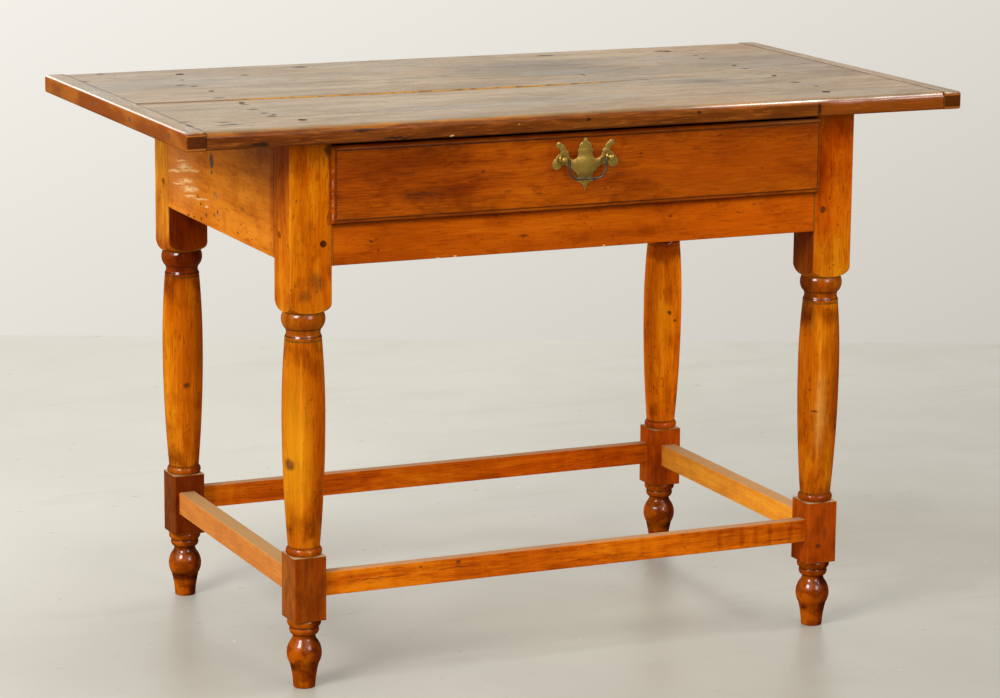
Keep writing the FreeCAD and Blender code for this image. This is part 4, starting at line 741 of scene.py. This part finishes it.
def metal(name, dark, light, rough, metallic, rim=None):
    """Old metal with cloudy tarnish and small pits; where a rim colour is given, its edges are paler, rubbed
    metal with a painted highlight.
    """
    finish = Finish(name)
    clouds = finish.noise(finish.place, 160, detail=4, roughness=0.65)
    pits = finish.noise(finish.place, 1400, detail=2)
    finish.colour = finish.ramp(clouds, [(0.36, dark), (0.64, light)])
    finish.stain(tuple(part * 0.4 for part in dark), 0.5, finish.remap(pits, 0.62, 0.75))
    # The rim colour: rubbed edges, with a painted highlight along them.
    if rim:
        finish.stain(rim, 0.75, finish.arris(0.9 * MM))
    finish.bump(finish.plus(clouds, finish.times(pits, 0.5)), 0.05 * MM)
    roughness = finish.remap(clouds, 0.35, 0.65, rough + 0.1, rough - 0.08)
    return finish.surface(roughness, Metallic=metallic)


LEG = leg_wood()
END_APRON = end_apron_wood()
RAIL = rail_wood()
BACK_APRON = stretcher_wood("back_apron_wood", "x", 8.2)
LONG_STRETCHER = stretcher_wood("long_stretcher_wood", "x", 4.4)
END_STRETCHER = stretcher_wood("end_stretcher_wood", "y", 4.9)
DRAWER = drawer_wood()
TOP_BOARD = top_wood("top_board_wood", "x", 0.8)
TOP_END = top_wood("breadboard_wood", "y", 1.9)
INNER = inner_wood()
TOP_PEG = peg_wood("top_peg_wood", ((0.045, 0.022, 0.012), (0.085, 0.042, 0.024), (0.135, 0.072, 0.042)))
PEG = peg_wood("peg_wood", ((0.06, 0.012, 0.002), (0.11, 0.025, 0.004), (0.17, 0.042, 0.007)))
END_PEG = peg_wood("end_peg_wood", ((0.17, 0.036, 0.003), (0.24, 0.056, 0.004), (0.32, 0.080, 0.006)))
# The brass gets paler rims: rubbed brass with a painted highlight.
BRASS = metal("aged_brass", (0.27, 0.163, 0.024), (0.455, 0.300, 0.058), 0.32, 0.85, rim=(0.95, 0.76, 0.34))
BAIL_METAL = metal("bail_iron", (0.035, 0.022, 0.012), (0.115, 0.082, 0.052), 0.28, 0.6)
NUT_IRON = metal("nut_iron", (0.04, 0.03, 0.025), (0.10, 0.085, 0.075), 0.6, 0.6)
RUSTED_NAIL = metal("rusted_nail", (0.075, 0.020, 0.004), (0.13, 0.036, 0.007), 0.85, 0.0)
TOP_NAIL = metal("top_nail", (0.055, 0.034, 0.020), (0.125, 0.080, 0.048), 0.7, 0.1)
NAIL_IRON = metal("nail_iron", (0.030, 0.013, 0.007), (0.070, 0.034, 0.020), 0.7, 0.2)

NODE_FINISHES = {
    END_APRON: ("end_apron_left", "end_apron_right"),
    BACK_APRON: ("back_apron",),
    RAIL: ("drawer_rail",),
    LONG_STRETCHER: ("stretcher_front", "stretcher_back"),
    END_STRETCHER: ("stretcher_left", "stretcher_right"),
    DRAWER: ("drawer_front",),
    INNER: (
        "drawer_side_left", "drawer_side_right", "drawer_back", "drawer_bottom",
        "drawer_runner_left", "drawer_runner_right", "drawer_guide_left", "drawer_guide_right",
        "drawer_kicker_left", "drawer_kicker_right",
    ),
    TOP_PEG: ("top_pegs",),
    PEG: ("rail_pegs",),
    END_PEG: ("end_apron_pegs", "back_apron_pegs"),
    NUT_IRON: ("handle_nuts",),
    RUSTED_NAIL: ("breadboard_nails",),
    TOP_NAIL: ("top_nails",),
    NAIL_IRON: ("guide_nails", "kicker_nails", "drawer_bottom_nails"),
}
for finish, names in NODE_FINISHES.items():
    for name in names:
        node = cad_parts[name]
        node.data.materials.clear()
        node.data.materials.append(finish)

# Modelled pieces

WELD = 1e-6


def start_on(piece):
    """Makes one piece the only selected and active one."""
    bpy.ops.object.select_all(action="DESELECT")
    piece.select_set(True)
    bpy.context.view_layer.objects.active = piece


def smooth_by_angle(piece, degrees):
    start_on(piece)
    bpy.ops.object.shade_smooth_by_angle(angle=math.radians(degrees))


def set_out(piece, name, node, body, finish):
    """Names a finished piece, gives it its finish and puts it in the place of its node."""
    piece.name = name
    piece.data.name = name
    piece.data.materials.clear()
    piece.data.materials.append(finish)
    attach(piece, body)
    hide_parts(node)


def welded_copy(node):
    """A copy of a node's shape with its loose triangles joined."""
    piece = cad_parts[node].copy()
    piece.data = piece.data.copy()
    piece.parent = None
    for key in list(piece.keys()):
        del piece[key]
    bpy.context.scene.collection.objects.link(piece)
    start_on(piece)
    bpy.ops.object.mode_set(mode="EDIT")
    bpy.ops.mesh.select_all(action="SELECT")
    bpy.ops.mesh.remove_doubles(threshold=WELD)
    bpy.ops.object.mode_set(mode="OBJECT")
    return piece


def bow(start, through, end, steps):
    """Points along the arc from start through a middle point to end, without the start."""
    (ax, ay), (bx, by), (cx, cy) = start, through, end
    twist = 2 * (ax * (by - cy) + bx * (cy - ay) + cx * (ay - by))
    if abs(twist) < 1e-9:
        return [end]
    a2, b2, c2 = ax * ax + ay * ay, bx * bx + by * by, cx * cx + cy * cy
    ox = (a2 * (by - cy) + b2 * (cy - ay) + c2 * (ay - by)) / twist
    oy = (a2 * (cx - bx) + b2 * (ax - cx) + c2 * (bx - ax)) / twist
    radius = math.hypot(ax - ox, ay - oy)
    first, middle, last = (math.atan2(py - oy, px - ox) for px, py in (start, through, end))
    turn = math.tau
    ccw = (middle - first) % turn < (last - first) % turn
    sweep = (last - first) % turn if ccw else -((first - last) % turn)
    return [
        (ox + radius * math.cos(first + sweep * n / steps), oy + radius * math.sin(first + sweep * n / steps))
        for n in range(1, steps + 1)
    ]


# The leg as the lathe leaves it, in millimetres: radius and level, an arc where a middle point is given.
# Where the stock stays square the cut clears its corners.
LOWER_CORNER = 31
UPPER_CORNER = 39.5
BLOCK_FOOT = 85.5
BLOCK_HEAD = 164.5
LEG_HEAD = 664
LEG_CUTS = [
    (12.0, 0), ((12.85, 0.35), (13.2, 1.2)), ((14.48, 14), (17.2, 28)),
    (16.7, 28.3), ((21.2, 43.5), (15.4, 59)), ((13.9, 62.5), (13.4, 66)), (14.8, 66),
    ((18.0, 71.4), (17.3, 75)), (16.9, 75.2), ((20.55, 80.8), (19.15, BLOCK_FOOT)),
    (LOWER_CORNER, BLOCK_FOOT), (LOWER_CORNER, BLOCK_HEAD),
    (19.6, BLOCK_HEAD), ((21.8, 168.7), (19.2, 174.5)), ((24.3, 254.25), (26.0, 334)),
    ((25.075, 380), (22.3, 426)), (21.6, 426), ((22.3, 428.5), (21.6, 431)),
    ((20.5, 435), (21.3, 439)), ((26.3, 450.5), (23.8, 460)),
    ((33.7, 466.1), (37.5, 476)), (UPPER_CORNER, 478), (UPPER_CORNER, LEG_HEAD), (0, LEG_HEAD),
]
ARC_STEPS = 12
SPIN_STEPS = 80
COLLAR_LEVELS = (426, 478)
STOCK_HALF = 26.5
LOWER_HALF = 20.75
WORN_CORNER = 3.6 * MM
LOWER_EASE = 0.9 * MM
UPPER_EASE = 2.0 * MM
# The stock stands a little past the lathe's cut at both ends.
SPARE = 2 * MM


def lathe_points(drop):
    """The points of the lathe's cut, with the collar lowered by a drop."""

    def lowered(point):
        radius, level = point
        low, high = COLLAR_LEVELS
        return (radius, level - drop) if low <= level <= high else point

    points = [(0.0, 0.0)]
    for cut in LEG_CUTS:
        if isinstance(cut[0], tuple):
            points.extend(bow(points[-1], lowered(cut[0]), lowered(cut[1]), ARC_STEPS))
        else:
            points.append(lowered(cut))
    return points


def turned_shape(drop):
    """The lathe's cut, drawn out point by point and spun round the leg's own axis."""
    points = lathe_points(drop)
    bpy.ops.object.select_all(action="DESELECT")
    bpy.ops.mesh.primitive_plane_add(size=0.01)
    piece = bpy.context.object
    bpy.ops.object.mode_set(mode="EDIT")
    bpy.ops.mesh.select_mode(type="VERT")
    bpy.ops.mesh.select_all(action="SELECT")
    bpy.ops.mesh.merge(type="CENTER")
    place = Vector((0, 0, 0))
    for radius, level in points[1:]:
        target = Vector((radius, 0, level)) * MM
        bpy.ops.mesh.extrude_region_move(TRANSFORM_OT_translate={"value": target - place})
        place = target
    bpy.ops.mesh.select_all(action="SELECT")
    bpy.ops.mesh.spin(steps=SPIN_STEPS, angle=math.tau, center=(0, 0, 0), axis=(0, 0, 1))
    bpy.ops.mesh.select_all(action="SELECT")
    bpy.ops.mesh.remove_doubles(threshold=WELD)
    bpy.ops.mesh.normals_make_consistent(inside=False)
    bpy.ops.object.mode_set(mode="OBJECT")
    return piece


def select_only(piece, kind, chosen):
    """Starts an edit with only those edges or faces selected whose points pass a test."""
    bpy.ops.object.mode_set(mode="OBJECT")
    mesh = piece.data
    for part in (mesh.vertices, mesh.edges, mesh.polygons):
        for item in part:
            item.select = False
    for item in mesh.edges if kind == "EDGE" else mesh.polygons:
        item.select = chosen(*(mesh.vertices[n].co for n in item.vertices))
    bpy.ops.object.mode_set(mode="EDIT")
    bpy.ops.mesh.select_mode(type=kind)


def round_edges(piece, chosen, radius, segments):
    """Rounds off the edges whose two end points pass a test."""
    select_only(piece, "EDGE", chosen)
    bpy.ops.mesh.bevel(offset=radius, segments=segments, affect="EDGES")


def is_upright(a, b):
    return abs(a.z - b.z) > 10 * MM


def plain_block(middle, size):
    """A box, to be worked on."""
    bpy.ops.object.select_all(action="DESELECT")
    bpy.ops.mesh.primitive_cube_add(size=1, location=middle, scale=size)
    bpy.ops.object.transform_apply(location=True, rotation=True, scale=True)
    return bpy.context.object


def square_stock():
    """The planed stock of a leg, thinner where the lower block stays, its long arrises eased."""
    foot = (BLOCK_FOOT - 2.5) * MM
    block = (BLOCK_HEAD + 0.3) * MM
    width = 2 * STOCK_HALF * MM
    piece = plain_block((0, 0, (foot - SPARE) / 2), (width, width, foot + SPARE))
    select_only(piece, "FACE", lambda *points: min(p.z for p in points) > foot - MM)
    shrink = LOWER_HALF / STOCK_HALF
    above = LEG_HEAD * MM + SPARE - block
    for rise, factor in ((0, shrink), (block - foot, 1), (0, 1 / shrink), (above, 1)):
        bpy.ops.mesh.extrude_region_move(TRANSFORM_OT_translate={"value": (0, 0, rise)})
        bpy.ops.transform.resize(value=(factor, factor, 1))
    for eased, chosen in (
        (WORN_CORNER, lambda a, b: max(a.z, b.z) < block + MM and max(a.x, b.x, a.y, b.y) < 0),
        (LOWER_EASE, lambda a, b: max(a.z, b.z) < block + MM and (min(a.x, b.x) > 0 or min(a.y, b.y) > 0)),
        (UPPER_EASE, lambda a, b: min(a.z, b.z) > block - MM),
    ):
        round_edges(piece, lambda a, b: is_upright(a, b) and chosen(a, b), eased, 3)
    bpy.ops.object.mode_set(mode="OBJECT")
    return piece


def turned_leg(drop):
    """One leg: what the lathe and the square stock have in common, its collar lowered by a drop."""
    leg = turned_shape(drop)
    stock = square_stock()
    start_on(leg)
    cut = leg.modifiers.new("square_stock", "BOOLEAN")
    cut.operation = "INTERSECT"
    cut.solver = "EXACT"
    cut.object = stock
    bpy.ops.object.modifier_apply(modifier=cut.name)
    bpy.data.objects.remove(stock)
    smooth_by_angle(leg, 28)
    return leg


def copied(piece, shift):
    """A copy with its own mesh, moved."""
    twin = piece.copy()
    twin.data = piece.data.copy()
    twin.data.transform(Matrix.Translation(shift))
    bpy.context.scene.collection.objects.link(twin)
    return twin


pattern_legs = {"left": turned_leg(0), "right": turned_leg(COLLAR_DROP)}
for side in ("front_left", "front_right", "back_left", "back_right"):
    low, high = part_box(f"leg_{side}")
    middle = (low + high) / 2
    leg = copied(pattern_legs[side.split("_")[1]], (middle.x, middle.y, 0))
    set_out(leg, f"turned_leg_{side}", f"leg_{side}", "frame", LEG)
for pattern_leg in pattern_legs.values():
    bpy.data.objects.remove(pattern_leg)

# The top boards are hollow along the seam between them, and the front one has sunk a little deeper.
SEAM_HALF_OPEN = 0.2 * MM
BOARD_END = 485.4 * MM
TOP_LEVEL = 685.85 * MM
TOP_UNDERSIDE = 664 * MM
BOARD_HALF_WIDTH = 272.8 * MM
CLEAT_HALF_WIDTH = 274 * MM
CLEAT_INNER = 485.7 * MM
CLEAT_OUTER = 509.85 * MM
CLEAT_LEVEL = 686 * MM
EDGE_ROUND = 8.5 * MM
UNDER_ROUND = 3 * MM
CLEAT_CORNER_ROUND = 4 * MM
CLEAT_EDGE_ROUND = 3.6 * MM
CLEAT_UNDER_ROUND = 2.5 * MM
CUT_STEP = 40 * MM
CROSS_STEP = 22 * MM
HOLLOW = 2.4 * MM
HOLLOW_REACH = 160 * MM
STEP = 1.4 * MM
STEP_REACH = 70 * MM
STEP_ENDS = (60 * MM, 210 * MM)


def seam_at(x):
    """Where the seam runs, at a place along the table."""
    return SEAM_MIDDLE + SEAM_SLOPE * x


def cut_across(places, normal):
    """Cuts the edited mesh right through at several places along one axis."""
    for place in places:
        bpy.ops.mesh.select_all(action="SELECT")
        bpy.ops.mesh.bisect(plane_co=[place * part for part in normal], plane_no=normal)


def plank(outer, seam_shift):
    """A board between the outer edge of the top and the seam, with its outer upper arris rounded off."""
    seam = SEAM_MIDDLE + seam_shift
    piece = plain_block(
        (0, (outer + seam) / 2, (TOP_LEVEL + TOP_UNDERSIDE) / 2),
        (2 * BOARD_END, abs(outer - seam), TOP_LEVEL - TOP_UNDERSIDE),
    )
    for end in (-1, 1):
        select_only(piece, "EDGE", lambda *pair: all(abs(p.y - seam) < MM and p.x * end > 0 for p in pair))
        bpy.ops.transform.translate(value=(0, SEAM_SLOPE * BOARD_END * end, 0))
    rim = TOP_UNDERSIDE + MM
    round_edges(piece, lambda *pair: all(abs(p.y - outer) < MM and p.z > rim for p in pair), EDGE_ROUND, 6)
    round_edges(piece, lambda *pair: all(abs(p.y - outer) < MM and p.z < rim for p in pair), UNDER_ROUND, 3)
    cut_across([n * CUT_STEP for n in range(-12, 13)], (1, 0, 0))
    inward = -1 if outer > seam else 1
    cut_across([outer + inward * n * CROSS_STEP for n in range(1, 13)], (0, 1, 0))
    bpy.ops.object.mode_set(mode="OBJECT")
    return piece


def sunk(x, away, is_lower):
    """How far the upper face has sunk at a distance from the seam; the lower board has a step there too."""
    depth = HOLLOW * (1 - (x / BOARD_END) ** 2) * max(0, 1 - away / HOLLOW_REACH) ** 2
    if is_lower:
        start, end = STEP_ENDS
        share = min(1, max(0, (end - x) / (end - start)))
        depth += STEP * share * max(0, 1 - away / STEP_REACH) ** 2
    return depth


def sink_along_seam(piece, is_lower):
    """Lowers the upper face towards the seam, as much as the weight of each point says."""
    group = piece.vertex_groups.new(name="sunk")
    for point in piece.data.vertices:
        if point.co.z > TOP_LEVEL - MM:
            away = abs(point.co.y - seam_at(point.co.x))
            group.add([point.index], sunk(point.co.x, away, is_lower) / (HOLLOW + STEP), "REPLACE")
    sag = piece.modifiers.new("sag", "DISPLACE")
    sag.direction = "Z"
    sag.mid_level = 0
    sag.strength = -(HOLLOW + STEP)
    sag.vertex_group = group.name
    start_on(piece)
    bpy.ops.object.modifier_apply(modifier=sag.name)
    piece.vertex_groups.clear()


def cleat(side):
    """A breadboard end, with its outer corners, its outer upper arris and its ends rounded off."""
    middle = (CLEAT_INNER + CLEAT_OUTER) / 2
    piece = plain_block(
        (side * middle, 0, (CLEAT_LEVEL + TOP_UNDERSIDE) / 2),
        (CLEAT_OUTER - CLEAT_INNER, 2 * CLEAT_HALF_WIDTH, CLEAT_LEVEL - TOP_UNDERSIDE),
    )

    def is_outer(a, b):
        return max(abs(a.x), abs(b.x)) > middle

    round_edges(piece, lambda a, b: is_upright(a, b) and abs(a.x) > middle, CLEAT_CORNER_ROUND, 4)
    round_edges(
        piece, lambda a, b: min(a.z, b.z) > CLEAT_LEVEL - MM and is_outer(a, b), CLEAT_EDGE_ROUND, 5)
    round_edges(
        piece, lambda a, b: max(a.z, b.z) < TOP_UNDERSIDE + MM and is_outer(a, b), CLEAT_UNDER_ROUND, 3)
    cut_across([n * CUT_STEP for n in range(-6, 7)], (0, 1, 0))
    bpy.ops.object.mode_set(mode="OBJECT")
    smooth_by_angle(piece, 32)
    return piece


for name, side in (("left", -1), ("right", 1)):
    set_out(cleat(side), f"end_cleat_{name}", f"breadboard_end_{name}", "frame", TOP_END)
for name, side in (("front", -1), ("back", 1)):
    board = plank(side * BOARD_HALF_WIDTH, side * SEAM_HALF_OPEN)
    sink_along_seam(board, name == "front")
    smooth_by_angle(board, 32)
    set_out(board, f"{name}_plank", f"top_board_{name}", "frame", TOP_BOARD)


PLATE_CHAMFER = 0.45 * MM


def bevelled_plate():
    """The brass plate with its front rim filed to a chamfer."""
    plate = welded_copy("handle_plate")
    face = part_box("handle_plate")[0].y
    select_only(plate, "EDGE", lambda a, b: False)
    bpy.ops.mesh.edges_select_sharp(sharpness=math.radians(50))
    bpy.ops.object.mode_set(mode="OBJECT")
    points = plate.data.vertices
    for edge in plate.data.edges:
        on_face = all(abs(points[n].co.y - face) < 1e-5 for n in edge.vertices)
        edge.select = edge.select and on_face
    bpy.ops.object.mode_set(mode="EDIT")
    bpy.ops.mesh.bevel(offset=PLATE_CHAMFER, segments=2, affect="EDGES", clamp_overlap=True)
    bpy.ops.object.mode_set(mode="OBJECT")
    smooth_by_angle(plate, 35)
    return plate


set_out(bevelled_plate(), "bat_wing_plate", "handle_plate", "drawer", BRASS)
for side in ("left", "right"):
    post = welded_copy(f"handle_post_{side}")
    smooth_by_angle(post, 35)
    set_out(post, f"ball_post_{side}", f"handle_post_{side}", "drawer", BRASS)
bail = welded_copy("bail")
smooth_by_angle(bail, 40)
set_out(bail, "hanging_bail", "bail", "bail", BAIL_METAL)

bpy.ops.object.select_all(action="DESELECT")
